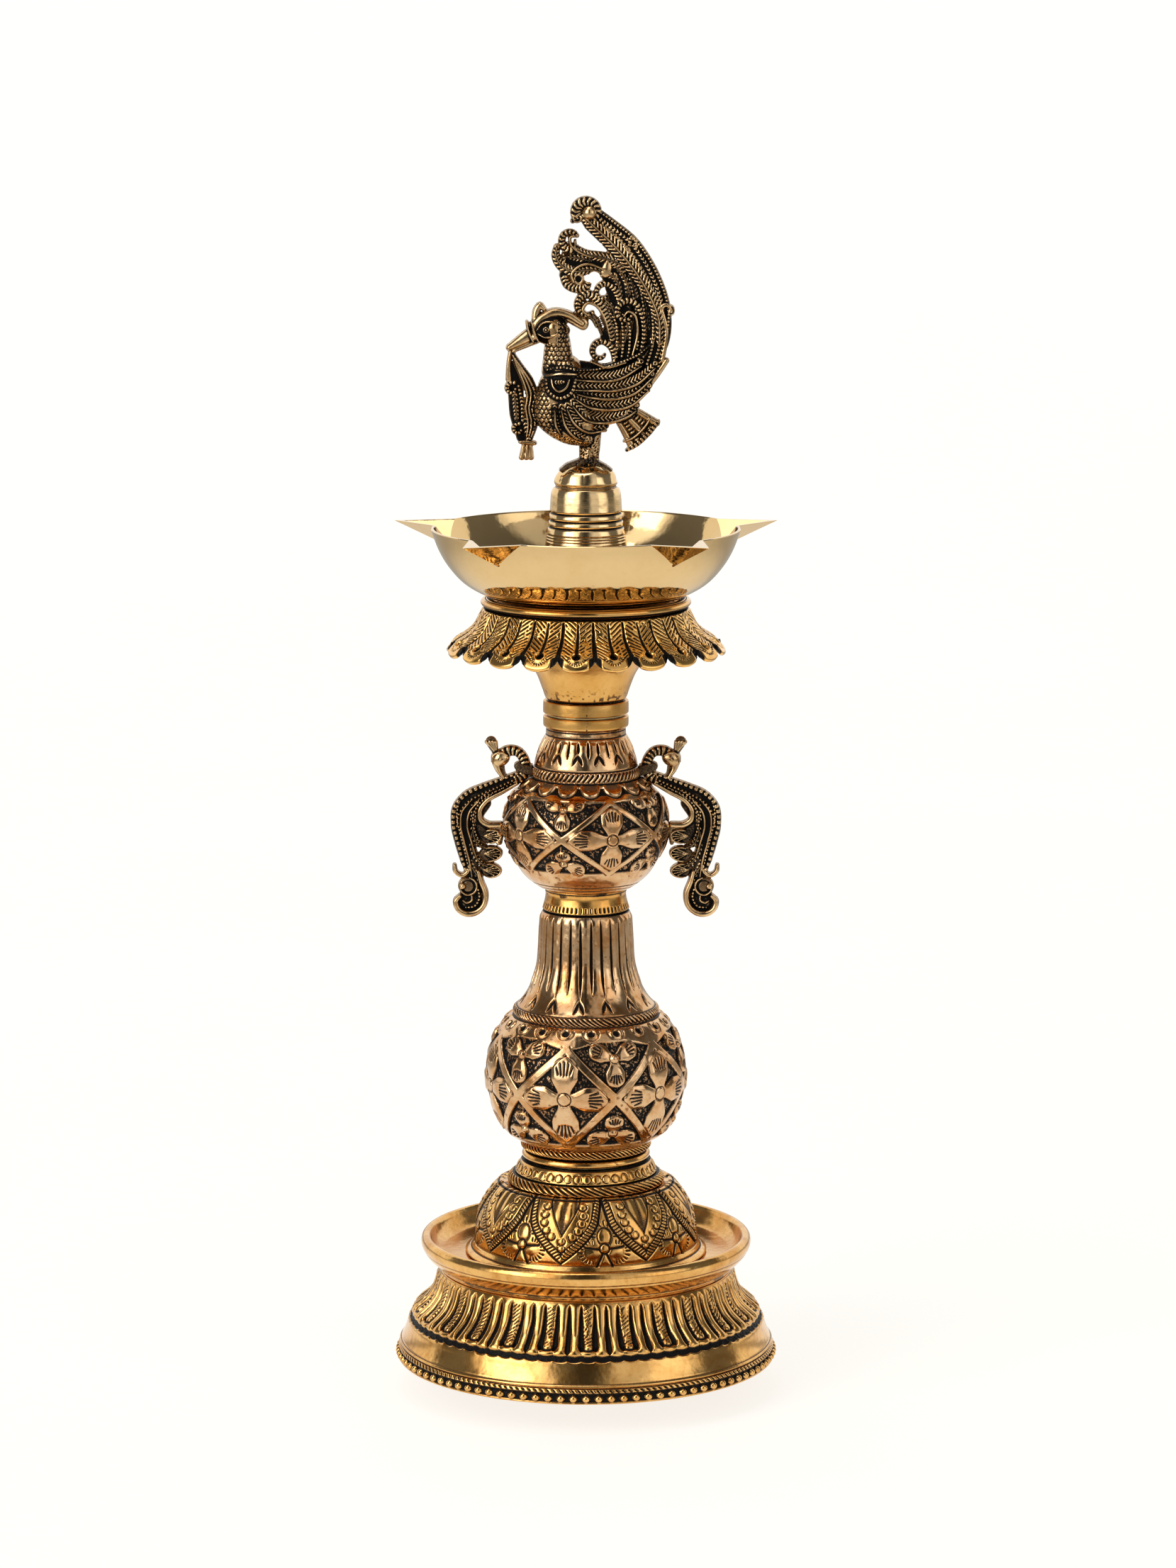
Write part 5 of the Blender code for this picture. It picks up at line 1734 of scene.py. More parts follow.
# wing feathers fanned from the shoulder: path, half width
WING_FEATHERS = (
    ([(-5, 432.6), (4, 431.4), (14, 432.2), (23.6, 437.8)], 2.3),
    ([(-4.4, 428.2), (4, 427.4), (13, 427.4), (22, 430.2), (29.6, 437)], 2.3),
    ([(-3.6, 426), (4, 423.8), (12, 423.4), (20.6, 425.6), (28.4, 432.4)], 1.9),
    ([(-4.4, 424.4), (2, 420.4), (10, 419.2), (19, 420.8), (27, 427.4)], 2.4),
    ([(-5.6, 421.6), (0, 415.6), (8, 413.6), (17.4, 416), (21.6, 419)], 2.5),
    ([(-8, 420), (-4.6, 413.6), (1.4, 409.8), (8.6, 410.2)], 2.3),
    ([(-10.4, 419.4), (-8.6, 412.4), (-4.4, 407.4), (1, 405.6)], 2.0),
    ([(-13.2, 418.8), (-12.8, 412.4), (-10.6, 408)], 1.5),
)


def plume(bar, lump):
    # thin dark backing of the plume and the wing, mostly hidden
    bar([(19, 436)] + PLUME, [8] + PLUME_WIDTHS, base=0.8, bulge=0.9, tone=0.9)
    bar([(8, 448), (15, 458), (14, 470), (8, 479), (-2, 481), (-8, 480)],
        [2, 5, 6, 4.6, 3.6, 2.6], base=0.8, bulge=0.9, tone=0.9)
    bar([(-3, 429), (8, 427), (18, 431), (27, 437)], [9, 10, 8.6, 4],
        base=0.8, bulge=1.2, tone=0.9)
    for x0, x1, x2, x3, top, width in PLUME_STEMS:
        bar([(x0, 434.5), (x1, 444), (x2, 454), (x3, top)],
            [width, width * 1.1, width, width * 0.7], base=1.4, bulge=1.5, knurl=1.25, depth=0.3)
    for x0, z0, x1, z1 in PLUME_BARBS:
        bar([(x0, z0), ((x0 + x1) / 2 + 0.6, (z0 + z1) / 2), (x1, z1)], [1.5, 1.9, 1.2],
            base=1.0, bulge=1.1, cuts=1.15, slant=0.8, spine=0.25)
    # main leaf, from the rump to the top scroll, and the feather at its back
    bar([(31.5, 446), (31, 456), (26, 468), (19.6, 478), (11.5, 487.6), (2, 496.6),
         (-1.6, 500)], [2, 2.6, 3.1, 3.5, 3.7, 3.4, 2],
        base=1.6, bulge=2.2, cuts=1.45, slant=1.0, spine=0.45, rim=0.85, depth=0.8)
    bar([(29.8, 433), (33.4, 446), (32.2, 460), (27, 471), (20.2, 481.6), (12.4, 490.6),
         (4.8, 497)], [1.1, 1.4, 1.4, 1.5, 1.5, 1.4, 0.9],
        base=1.3, bulge=1.6, cuts=1.25, depth=0.8)
    # strips along the back edge, each set in from the outline of the backing
    for inset, width, style in (
        (1.1, 0.95, dict(knurl=1.2, depth=0.35)),
        (3.4, 1.2, dict(cuts=1.3, slant=1.0, depth=0.7)),
        (5.9, 1.15, dict(cuts=1.3, slant=-1.0, depth=0.7)),
    ):
        strip = []
        for i, (x, z) in enumerate(PLUME):
            x0, z0 = PLUME[max(i - 1, 0)]
            x1, z1 = PLUME[min(i + 1, len(PLUME) - 1)]
            chord = math.hypot(x1 - x0, z1 - z0)
            off = max(PLUME_WIDTHS[i] - inset, 0.0)
            strip.append((x + (z1 - z0) / chord * off, z - (x1 - x0) / chord * off))
        bar(strip, [width] * (len(strip) - 1) + [width * 0.7], base=1.3, bulge=1.3, **style)
    # top scroll and its boss
    bar(spiral((0.5, 501.1), 4.9, -150, -290, 0.78, 11),
        [2.3, 2.5, 2.6, 2.6, 2.5, 2.4, 2.3, 2.2, 2, 1.8, 1.4],
        base=1.8, bulge=1.8, cuts=1.35, slant=0.35, depth=0.6)
    bar([(-5.6, 497.4), (-4.6, 499), (-1.5, 499), (1, 496.5)], [1.2, 1.4, 1.6, 1.6],
        base=1.7, bulge=1.7, cuts=1.2)
    lump((1.5, 500.9), (3.3, 3.3), base=2.2, bulge=3.8)
    # curls on the back
    bar([(16.4, 480), (17.2, 484), (18.6, 487.2)]
        + spiral((19.6, 488), 2.5, 140, -230, 0.45, 7)[1:],
        [1, 1.2, 1.2, 1.2, 1.2, 1.1, 1, 0.9, 0.8], base=1.2, bulge=1.6, knurl=1.1, depth=0.35)
    lump((21.4, 486.6), (1.6, 1.9), base=1.0, bulge=1.8, ring=0.6)
    bar([(32.6, 438), (34.4, 450), (33, 457.4)]
        + spiral((34.4, 459.6), 2.7, 200, -250, 0.5, 8)[1:],
        [1.1, 1.2, 1.2, 1.3, 1.3, 1.2, 1.1, 1, 0.9, 0.8], base=1.3, bulge=1.8)
    lump((36.3, 459.4), (1.7, 2.4), base=1.0, bulge=1.8, ring=0.6)
    bar([(27, 428), (31, 433), (34.4, 438)], [1.6, 1.4, 1.3], base=1.2, bulge=1.8)


def plume_scrolls(bar, lump):
    """Leaf scrolls in front of the plume, from the top one down."""
    bar([(16, 478.6), (8, 481.6), (0, 483.2), (-4.4, 485.6)], [3.6, 2.6, 2.2, 1.8],
        base=1.1, bulge=1.6, cuts=1.3, slant=1.0, spine=0.3)
    bar([(-4.4, 485)] + spiral((-6.4, 489.4), 4.4, -60, -265, 0.72, 10),
        [1.8, 1.9, 1.9, 1.9, 1.8, 1.7, 1.6, 1.5, 1.4, 1.2, 1.1],
        base=1.5, bulge=1.7, cuts=1.25, slant=0.3, depth=0.55)
    bar([(2, 482), (-3.4, 484.6), (-6.6, 487.8), (-6.6, 490.6), (-4.2, 491)],
        [0.7, 0.8, 0.8, 0.8, 0.7], base=2.0, bulge=1.5)
    bar([(12, 474), (2, 476.6), (-6, 476.2), (-10.4, 478.6), (-12.8, 482.6), (-12.4, 486.4)],
        [2, 2.4, 2.6, 2.5, 2, 1.5], base=1.2, bulge=1.6, cuts=1.25, slant=0.7, spine=0.35)
    bar([(-8.4, 478.6), (-9.6, 483), (-9, 486.4)], [0.7, 0.8, 0.7],
        base=1.9, bulge=1.2, knurl=1.1)
    bar([(8, 476.8), (1, 479.2), (-4, 477.6), (-6.2, 474.4), (-5.2, 471.6)],
        [0.8, 0.9, 0.9, 0.9, 0.8], base=2.1, bulge=1.6)
    bar([(-9.6, 474.6), (-7.8, 470.4), (-3.6, 468.6), (0.2, 469.6), (1.2, 472)],
        [1.9, 2.1, 2.1, 1.9, 1.4], base=1.4, bulge=1.7, cuts=1.15, slant=0.3, depth=0.55)
    lump((-3.2, 472.8), (2.6, 3.0), tilt=20, base=1.0, bulge=1.8, cup=1.0)
    for path, width in WEB_LEAVES:
        bar(path, [width * 0.7, width, width * 0.6],
            base=1.2, bulge=1.2, cuts=1.25, spine=0.3, depth=0.7)
    # bud
    lump((8.8, 476.8), (2.5, 4.0), tilt=-12, base=1.8, bulge=1.7)
    # small scroll under the bud
    bar([(14.6, 463.6), (12, 468.6), (8.6, 470.8)]
        + spiral((7.6, 466.8), 3.9, 80, 250, 0.42, 9)[1:],
        [1.9, 1.8, 1.5, 1.5, 1.4, 1.3, 1.2, 1.1, 1, 0.9, 0.8],
        base=1.6, bulge=1.7, cuts=1.15, slant=0.3, depth=0.5)
    # tall scroll nearest the neck
    bar([(11.6, 446), (9, 455), (5.6, 463), (0.6, 466.4)]
        + spiral((0.8, 461.2), 5.0, 90, 215, 0.68, 8)[1:],
        [1.6, 1.8, 2, 2, 1.9, 1.8, 1.7, 1.6, 1.5, 1.3, 1.1],
        base=1.5, bulge=1.8, cuts=1.2, slant=0.35, depth=0.55)
    bar([(10.2, 448), (8, 456), (4.6, 461.4), (0.6, 462.6), (-1.4, 459.6), (1, 457.4)],
        [0.7, 0.9, 0.9, 0.9, 0.9, 0.8], base=2.2, bulge=1.6)
    bar([(8.2, 462), (11.4, 452), (14, 444)], [1.2, 1.5, 1.2],
        base=1.2, bulge=1.5, cuts=1.15, spine=0.25)
    # tall scroll in the middle of the plume
    bar([(20.6, 433), (24.4, 446), (24.2, 456), (21.4, 462.2), (17.6, 463.6)]
        + spiral((17.4, 458.4), 5.2, 88, 265, 0.38, 10)[1:],
        [1, 1.3, 1.5, 1.8, 1.8, 1.8, 1.7, 1.6, 1.5, 1.4, 1.3, 1.2, 1, 0.8],
        base=2.0, bulge=1.8, cuts=1.3, slant=0.3, depth=0.5)
    bar([(19.8, 440), (22, 450), (20.8, 457.6), (18, 459), (16.2, 457)],
        [0.8, 0.9, 0.9, 0.8, 0.7], base=2.5, bulge=1.4)
    # low scroll in the hollow of the back
    bar([(11.4, 432), (12.6, 438), (10.8, 443.8), (7, 446.2)]
        + spiral((6.4, 441.6), 4.6, 86, 240, 0.42, 9)[1:],
        [1.6, 1.7, 1.7, 1.6, 1.6, 1.5, 1.5, 1.4, 1.3, 1.2, 1, 0.8],
        base=1.5, bulge=1.8, cuts=1.2, slant=0.3, depth=0.5)


def bird_body(bar):
    """Breast, belly and neck."""
    bar([(-9, 432.6), (-9.6, 427), (-8, 419), (-2, 410.8)], [8.2, 11.2, 12.2, 6.8],
        base=0.6, bulge=10.0, flat=2.0)
    bar([(-14, 421), (-14, 414.6), (-8, 407.6), (0, 404.6)], [8.4, 8, 5.4, 3.6],
        base=0.6, bulge=8.6, flat=2.0)
    bar([(-11.6, 434), (-12, 441), (-12.2, 447), (-13.6, 452)], [7.4, 6.2, 5.4, 5.2],
        base=0.6, bulge=6.4, flat=2.0)


def bird_wing(cast):
    """Combed feathers, each with a smooth rib under it, and two ribs along the top."""
    bar = cast.bar
    wing = cast.softened(2.2, 3.0)
    for path, width in WING_FEATHERS:
        middle = len(path) - 2
        width = width * 1.12
        bar(path, [width * 0.8] + [width] * middle + [width * 0.55],
            bulge=0.9, cuts=1.3, slant=1.1, depth=0.8, flat=2.0, ride=wing)
        rib = [(x, z - width * 0.78) for x, z in path]
        bar(rib, [0.6] + [0.85] * middle + [0.6], bulge=1.9, ride=wing)
    bar([(-5.6, 434.6), (4, 434.4), (12, 436.6), (22, 440.6), (27.4, 445)],
        [0.6, 0.8, 0.8, 0.8, 0.5], bulge=1.9, knurl=1.1, depth=0.3, ride=wing)
    bar([(2.4, 437.6), (9, 435.4), (17, 437.4)], [0.7, 0.9, 0.7], bulge=2.2, ride=wing)


def bird_tail_and_leg(bar):
    # tail: ribs fanned from the root to an oblique frilled end
    for k in range(5):
        share = k / 4.0
        root_x, root_z = 11.9 + 5.2 * share, 414.8 + 4.6 * share
        end_x, end_z = 19.6 + 10.4 * share, 401.4 + 9.8 * share
        middle = (0.5 * (root_x + end_x) + 0.5, 0.5 * (root_z + end_z) - 0.3)
        bar([(root_x, root_z), middle, (end_x, end_z)], [1.1, 1.5, 1.75],
            base=1.4, bulge=1.6, knurl=1.35 if k % 2 else 0.0, depth=0.6)
    bar([(13.4, 413.2), (16.6, 414.6), (18.6, 418)], [0.8, 1, 0.8], base=3.0, bulge=1.0)
    bar([(17.6, 399.6), (22, 402.6), (27.2, 407.6), (30.8, 411.8)], [0.9, 1.5, 1.5, 1.1],
        base=2.3, bulge=1.5, knurl=1.4, depth=0.6)
    bar([(16.4, 403.4), (20.4, 405.2), (25, 409.6), (27.6, 413.6)], [0.7, 0.85, 0.85, 0.7],
        base=3.0, bulge=1.3)
    # leg and claws
    bar([(1, 409), (1.6, 403), (1.4, 397.4), (1.4, 392.2)], [6, 4.7, 4.3, 4.6],
        base=0.6, bulge=4.0, flat=2.0)
    bar([(2.2, 395.6), (-3.6, 393.9), (-8, 392.5), (-10.6, 391.2)], [2.6, 2, 1.7, 1],
        base=1.6, bulge=3.4, tone=0.5)
    bar([(1, 395), (5.2, 393.4), (8.4, 392.2), (10.6, 391.1)], [2.4, 1.9, 1.4, 0.9],
        base=1.6, bulge=3.4, tone=0.5)


def bird_medallion(cast):
    """A medallion on the shoulder, with a collar above it."""
    bar = cast.bar
    breast = cast.softened(1.3, 2.0)
    bar([(-17.4, 434.4), (-10.8, 435.8), (-4.2, 435)], [0.8, 0.9, 0.8],
        bulge=1.0, knurl=1.2, depth=0.4, ride=breast)
    bar([(-17.2, 432), (-10.8, 433.2), (-4, 432.8)], [0.8, 0.9, 0.8], bulge=1.0, ride=breast)
    bar([(-17.2, 431.2), (-16.4, 426.2), (-11.6, 422.8), (-6.2, 425), (-4.2, 430.6)],
        [0.9, 1.05, 1.05, 1.05, 0.9], bulge=1.3, knurl=1.3, depth=0.35, ride=breast)
    bar([(-14.8, 430.8), (-13.9, 427.4), (-11.4, 425.6), (-8.4, 427.2), (-7, 430.6)],
        [0.7, 0.8, 0.8, 0.8, 0.7], bulge=1.0, ride=breast)
    bar([(-12.4, 429.6), (-9.6, 429.8)], [1.3, 1.3], bulge=1.2, cuts=0.8, slant=0.6, ride=breast)


def bird_head(cast):
    bar, lump = cast.bar, cast.lump
    lump((-16.4, 452.6), (8.6, 5.6), tilt=12, base=0.6, bulge=5.4)
    bar([(-22, 448), (-20.6, 454), (-14, 458.4), (-7.4, 457.6), (-1.6, 454)],
        [1.6, 2.4, 2.2, 1.9, 1.6], base=2.6, bulge=2.6)
    # eye between its lids
    lump((-16.9, 451.3), (4.2, 2.9), tilt=12, base=6.2, bulge=0.15, tone=0.95)
    bar([(-21, 451.2), (-18.6, 454.2), (-14.4, 454.8), (-10.6, 452.6)], [0.5, 0.75, 0.8, 0.6],
        base=6.4, bulge=0.9, rim=0.3)
    bar([(-20.6, 449.8), (-17.2, 448.2), (-13.2, 448.9), (-10.8, 451.4)],
        [0.5, 0.75, 0.75, 0.6], base=6.4, bulge=0.9, rim=0.3)
    bar([(-20, 446.4), (-15, 445), (-10.2, 446.6), (-8.2, 450.6)], [0.6, 0.8, 0.8, 0.6],
        base=5.4, bulge=1.1, rim=0.4)
    lump((-17, 451.5), (1.7, 1.5), base=6.6, bulge=1.1, ring=0.42)
    # curls behind and on top of the head
    bar([(-8, 456.4), (-3.4, 453.6), (-1, 452.4)]
        + spiral((-1.9, 454.2), 2.0, -50, 200, 0.5, 6)[1:],
        [1.8, 1.7, 1.6, 1.5, 1.4, 1.2, 1.1, 0.9], base=1.4, bulge=2.2)
    bar([(-21.6, 455.6), (-21, 459.2), (-19.6, 461.4), (-17.8, 460)], [1.7, 1.9, 1.7, 1.1],
        base=1.4, bulge=2.2)
    # beak with its bands
    bar([(-22, 449.8), (-27, 446.8), (-32.6, 443.6)], [3.6, 2.9, 1.7],
        base=0.8, bulge=3.0, rim=0.3)
    bar([(-21, 446.4), (-26.4, 444.2), (-31, 442)], [1.4, 1.3, 0.9],
        base=1.4, bulge=1.6, rim=0.3)
    for shift in (0.0, 2.3):
        bar([(-25.2 + shift, 454.6 - 0.2 * shift), (-24.4 + shift, 450.6),
             (-22.4 + shift, 446.2)], [0.8, 0.9, 0.8], base=3.8 + 0.3 * shift, bulge=1.4)
    cheek = cast.softened(0.9, 2.0)
    for shift in (0.0, 2.0):
        bar([(-11.6 + shift, 455 - 0.4 * shift), (-9.4 + shift, 450.9), (-11.4 + shift, 446.6)],
            [0.5, 0.75, 0.5], bulge=0.9, ride=cheek, rim=0.45)


def bird_garland(bar):
    """A garland hanging from the beak, with curls on it and a bell at its end."""
    bar([(-31.8, 437), (-30.2, 427), (-29.4, 415), (-27.6, 405)], [0.9, 3.4, 3.3, 2.2],
        base=0.8, bulge=0.9, tone=0.8)
    bar([(-29, 428), (-27.4, 420), (-27.2, 412)], [0.8, 1.2, 0.9],
        base=1.2, bulge=1.3, cuts=1.2, slant=0.8)
    bar([(-32.4, 441.6), (-33, 436), (-33, 430)], [0.9, 1.1, 1.4], base=1.2, bulge=1.5)
    bar([(-31.6, 441.8), (-28.4, 435.4), (-25, 429.4), (-23.2, 424), (-24.2, 417.6),
         (-23, 411), (-24.4, 404.6)], [0.8, 1.8, 2.6, 2.6, 2.3, 2.5, 1.8],
        base=1.0, bulge=1.4, tone=0.8)
    for shift in (-1.7, 0.0, 1.7):
        bar([(-31.2, 440.4), (-28.2 + shift * 0.5, 434.6), (-25 + shift * 0.9, 428.6),
             (-23.4 + shift, 423.4), (-24.3 + shift * 0.8, 417.4), (-23.2 + shift * 0.9, 411),
             (-24.4 + shift * 0.6, 405.4)], [0.5, 0.7, 0.75, 0.75, 0.7, 0.7, 0.55],
            base=2.2, bulge=1.4, rim=0.4)
    bar(spiral((-31.4, 426), 2.9, 60, 300, 0.42, 9),
        [1.2, 1.3, 1.3, 1.3, 1.2, 1.2, 1.1, 1, 0.9], base=1.6, bulge=1.9, knurl=1.15)
    bar([(-30.4, 423), (-30, 418), (-29.6, 413)], [1.6, 1.7, 1.4],
        base=1.2, bulge=1.7, cuts=1.2, slant=0.8, spine=0.3)
    bar(spiral((-28.8, 408.6), 2.6, 70, 290, 0.42, 9),
        [1.2, 1.2, 1.3, 1.2, 1.2, 1.1, 1, 0.9, 0.8], base=1.6, bulge=1.8, knurl=1.1)
    bar([(-26, 412), (-24.6, 404)], [1.6, 1.5], base=1.2, bulge=1.6, cuts=1.2, slant=0.5)
    bar([(-28, 403.2), (-25, 403), (-22, 402.6)], [1.1, 1.3, 1.1], base=2.2, bulge=1.7)
    for shift in (-2.1, -0.1, 1.9):
        bar([(-25.1 + shift * 0.75, 401.6), (-25.4 + shift, 396.4)], [0.95, 1.3],
            base=1.8, bulge=1.8, rim=0.35)


def bird_skin(cast):
    """Scales on the neck and breast, and pits on the leg and belly."""
    x, z, thick = cast.grid_x, cast.grid_z, cast.thick
    row = (z - 400.0) / 1.9
    across = wrap(x / 2.1 + 0.5 * (np.floor(row) % 2), 1.0)
    scale = bell(np.hypot(across * 1.5, row - np.floor(row) - 0.95) - 0.78, 0.16)
    neck = (x > -19) & (x < -5.5) & (z > 434.8) & (z < np.where(x > -12.0, 454.0, 446.0))
    breast = (x < -13.0 - 0.25 * (z - 410)) & (x > -23.5) & (z > 408) & (z < 430)
    scale = scale * ((neck | breast) & (thick > 3.0))
    leg = (np.abs(x - 1.4) < 6) & (z < 405.5)
    belly = (x < -2.0) & (x > -22) & (z < 412.5) & (z > 401.0) & (thick < 9.0)
    pits = np.sin(x * 3.1 + 1.7 * np.sin(z * 1.9)) * np.sin(z * 2.7 + 1.3 * np.sin(x * 2.3))
    pits = smooth(pits, 0.12, 0.55) * (leg | belly)
    cast.engrave(-0.45 * scale - 0.55 * pits, np.maximum(scale * 0.92, pits * 0.85))


def make_bird():
    cast = Casting(x_range=(-38.5, 41.5), z_range=(390.2, 511.0), step=0.30)
    plume(cast.bar, cast.lump)
    plume_scrolls(cast.bar, cast.lump)
    bird_body(cast.bar)
    bird_wing(cast)
    bird_tail_and_leg(cast.bar)
    bird_medallion(cast)
    bird_head(cast)
    bird_garland(cast.bar)
    bird_skin(cast)
    # holes through the plume: centre, radius
    for centre, radius in (
        ((2.2, 488.2), 1.9), ((5.6, 486.6), 1.5), ((3.6, 473.2), 2.6), ((1, 473), 1.6),
    ):
        cast.cut(centre, radius)
    cast.build("finial_bird", "finial")


make_bird()

# ---------------------------------------------------------------- handles, drawn on the +X side

# hollow lobes on the inner side: centre, radii, tilt in degrees
HANDLE_LOBES = (
    ((41.4, 231.6), (5.2, 3.3), -6),
    ((41.4, 223.8), (5.2, 3.4), -8),
    ((41.6, 216.6), (5.0, 3.3), 6),
)

# rows of beads along the shoulder: path, bead radius
BEAD_ROWS = (
    ([(30, 257.2), (36.6, 254.2), (44.4, 250.8), (51.2, 246.8), (55, 241.6), (55.8, 236.2)],
     0.78),
    ([(30.6, 255.8), (37, 252.6), (44, 249.2), (49.6, 245.6)], 0.66),
)


def handle_head(bar, lump):
    # crest fan
    for shift in (-1.6, -0.5, 0.6, 1.7):
        bar([(38.6, 267.2), (39.6 + 0.55 * shift, 270.2),
             (40.9 + 1.15 * shift, 273.2 - 0.12 * shift * shift)], [0.7, 0.8, 0.95],
            base=1.0, bulge=1.2)
    bar([(38.6, 267.6), (40.2, 271), (41, 273)], [1.3, 2, 2.4], base=0.8, bulge=0.7, tone=0.5)
    # lug to the vase and the neck loop
    bar([(22.9, 260.6), (26.4, 261.2), (29, 262.4)], [2.8, 2.4, 2.2],
        base=2.2, bulge=1.6, tone=0.5)
    bar([(37.4, 266.2), (33.6, 269), (29.4, 268.6), (26.6, 264.8), (26.4, 260.6),
         (28.6, 257.4), (31.6, 256.4)], [3, 2.6, 2.3, 2.3, 2.5, 2.6, 2.2],
        base=1.5, bulge=2.0, cuts=1.4, slant=0.2, depth=0.35)
    # head, eye and beak
    lump((36.8, 265.8), (4.1, 3.6), tilt=-30, base=1.4, bulge=3.0)
    bar([(40.4, 264.4), (40, 267.4), (36.8, 268.8), (33.8, 267.4)], [0.7, 0.8, 0.8, 0.7],
        base=3.0, bulge=1.3)
    lump((36.9, 265.9), (1.6, 1.3), tilt=-20, base=3.9, bulge=1.0, ring=0.52)
    bar([(38.6, 263.6), (37.8, 260.6), (35.6, 257.4)], [2, 1.4, 0.9], base=1.4, bulge=1.9)
    bar([(36, 263), (35.6, 260.2), (34.6, 257.8)], [0.8, 0.7, 0.6],
        base=1.2, bulge=1.2, tone=0.4)


def handle_back(bar, lump):
    # dark web of the shoulder and back
    bar([(28.8, 257.6), (36.6, 253.6), (45, 249.8), (51.6, 244.6), (54, 237.4), (52.6, 229),
         (50.6, 221), (49, 214.4)], [1.6, 3.4, 4.6, 5, 4.6, 4.4, 4, 2.6],
        base=1.0, bulge=1.6, tone=0.55)
    bar([(44, 246), (48, 240), (46, 234), (42, 231)], [3, 3.6, 4, 2],
        base=1.0, bulge=1.2, tone=0.55)
    for shift in (0.0, 1.9, 3.8):
        bar([(33.6 + shift, 252.9 + 0.2 * shift), (40.4 + shift, 249.3 + 0.15 * shift),
             (45.2 + shift * 0.9, 244.4 + 0.25 * shift), (46.2 + shift, 238.4)],
            [0.5, 0.75, 0.75, 0.6], base=2.2, bulge=1.3, knurl=1.3, depth=0.3, rim=0.4)
    # plain inner edge
    bar([(29.8, 254.8), (36.4, 251), (42.8, 247.4), (45.8, 243.2), (45.4, 239),
         (42.4, 236.9), (37.2, 236.8)], [1, 1.2, 1.3, 1.4, 1.5, 1.5, 1.4], base=2.2, bulge=1.5)
    # outer edge and ribs running down the back
    bar([(28.8, 259.8), (36, 257), (44.6, 253.8), (51.8, 250.4), (56.6, 244.6), (57.4, 237),
         (55.4, 229), (53.4, 221), (51.6, 215.6)], [0.9, 1, 1.2, 1.3, 1.3, 1.2, 1.1, 1.1, 1],
        base=2.0, bulge=1.5, knurl=1.9, depth=0.35)
    bar([(46.4, 247.4), (50.4, 242.6), (51.4, 236.6), (49.6, 229.4), (47.4, 222.4)],
        [0.7, 0.8, 0.8, 0.8, 0.6], base=2.6, bulge=1.3)
    bar([(49.6, 247.8), (53.6, 242.6), (54.2, 236.4), (52.6, 229), (50.6, 221.4),
         (49.4, 214)], [0.6, 0.75, 0.8, 0.8, 0.8, 0.6], base=2.6, bulge=1.3)
    bar([(40.4, 250.6), (46.4, 246), (48.8, 240.6), (48.2, 234.6), (46, 229.4)],
        [0.6, 0.8, 0.85, 0.8, 0.6], base=2.6, bulge=1.3, knurl=1.2, depth=0.3)
    bar([(54.8, 247.2), (55.9, 241), (54.4, 233), (52.4, 225), (50.8, 217)],
        [0.6, 0.8, 0.8, 0.8, 0.6], base=2.5, bulge=1.3, knurl=1.2, depth=0.3)
    for path, radius in BEAD_ROWS:
        row = catmull(path, 0.5)
        run = run_length(row)
        for place in np.arange(0.4, run[-1], 1.75):
            centre = (np.interp(place, run, row[:, 0]), np.interp(place, run, row[:, 1]))
            lump(centre, (radius, radius), base=3.2, bulge=1.2)
    # feathers between back and lobes
    for path in (
        [(47.6, 240), (49, 234), (46.8, 228.4), (43, 226.6)],
        [(49.6, 233), (49.2, 226), (46, 220.4), (42.6, 218.4)],
        [(51.4, 226), (49.8, 219), (47.4, 214.8)],
    ):
        bar(path, [1, 1.8, 1.6, 1][: len(path)],
            base=1.6, bulge=1.3, cuts=1.3, slant=0.8, spine=0.3)


def handle_lobe(bar, lump, centre, radii, tilt):
    """A hollow lobe with a raised rim and five rays."""
    x, z = centre
    lump(centre, radii, tilt=tilt, base=0.8, bulge=1.4, tone=0.5, cup=0.5)
    lean = math.radians(tilt)
    rim = []
    for k in range(13):
        turn = math.radians(70 + 220 * k / 12)
        along = (radii[0] - 0.5) * math.cos(turn)
        across = (radii[1] - 0.45) * math.sin(turn)
        rim.append((
            x + along * math.cos(lean) - across * math.sin(lean),
            z + along * math.sin(lean) + across * math.cos(lean),
        ))
    bar(rim, [0.55] + [0.75] * 11 + [0.55], base=2.2, bulge=1.2)
    for k in range(5):
        turn = math.radians(115 + 32 * k)
        end = (x + (radii[0] - 1.2) * math.cos(turn), z + (radii[1] - 1.0) * math.sin(turn))
        bar([(x + 2.8, z + 0.2), end], [0.35, 0.6], base=1.9, bulge=1.0, rim=0.3)


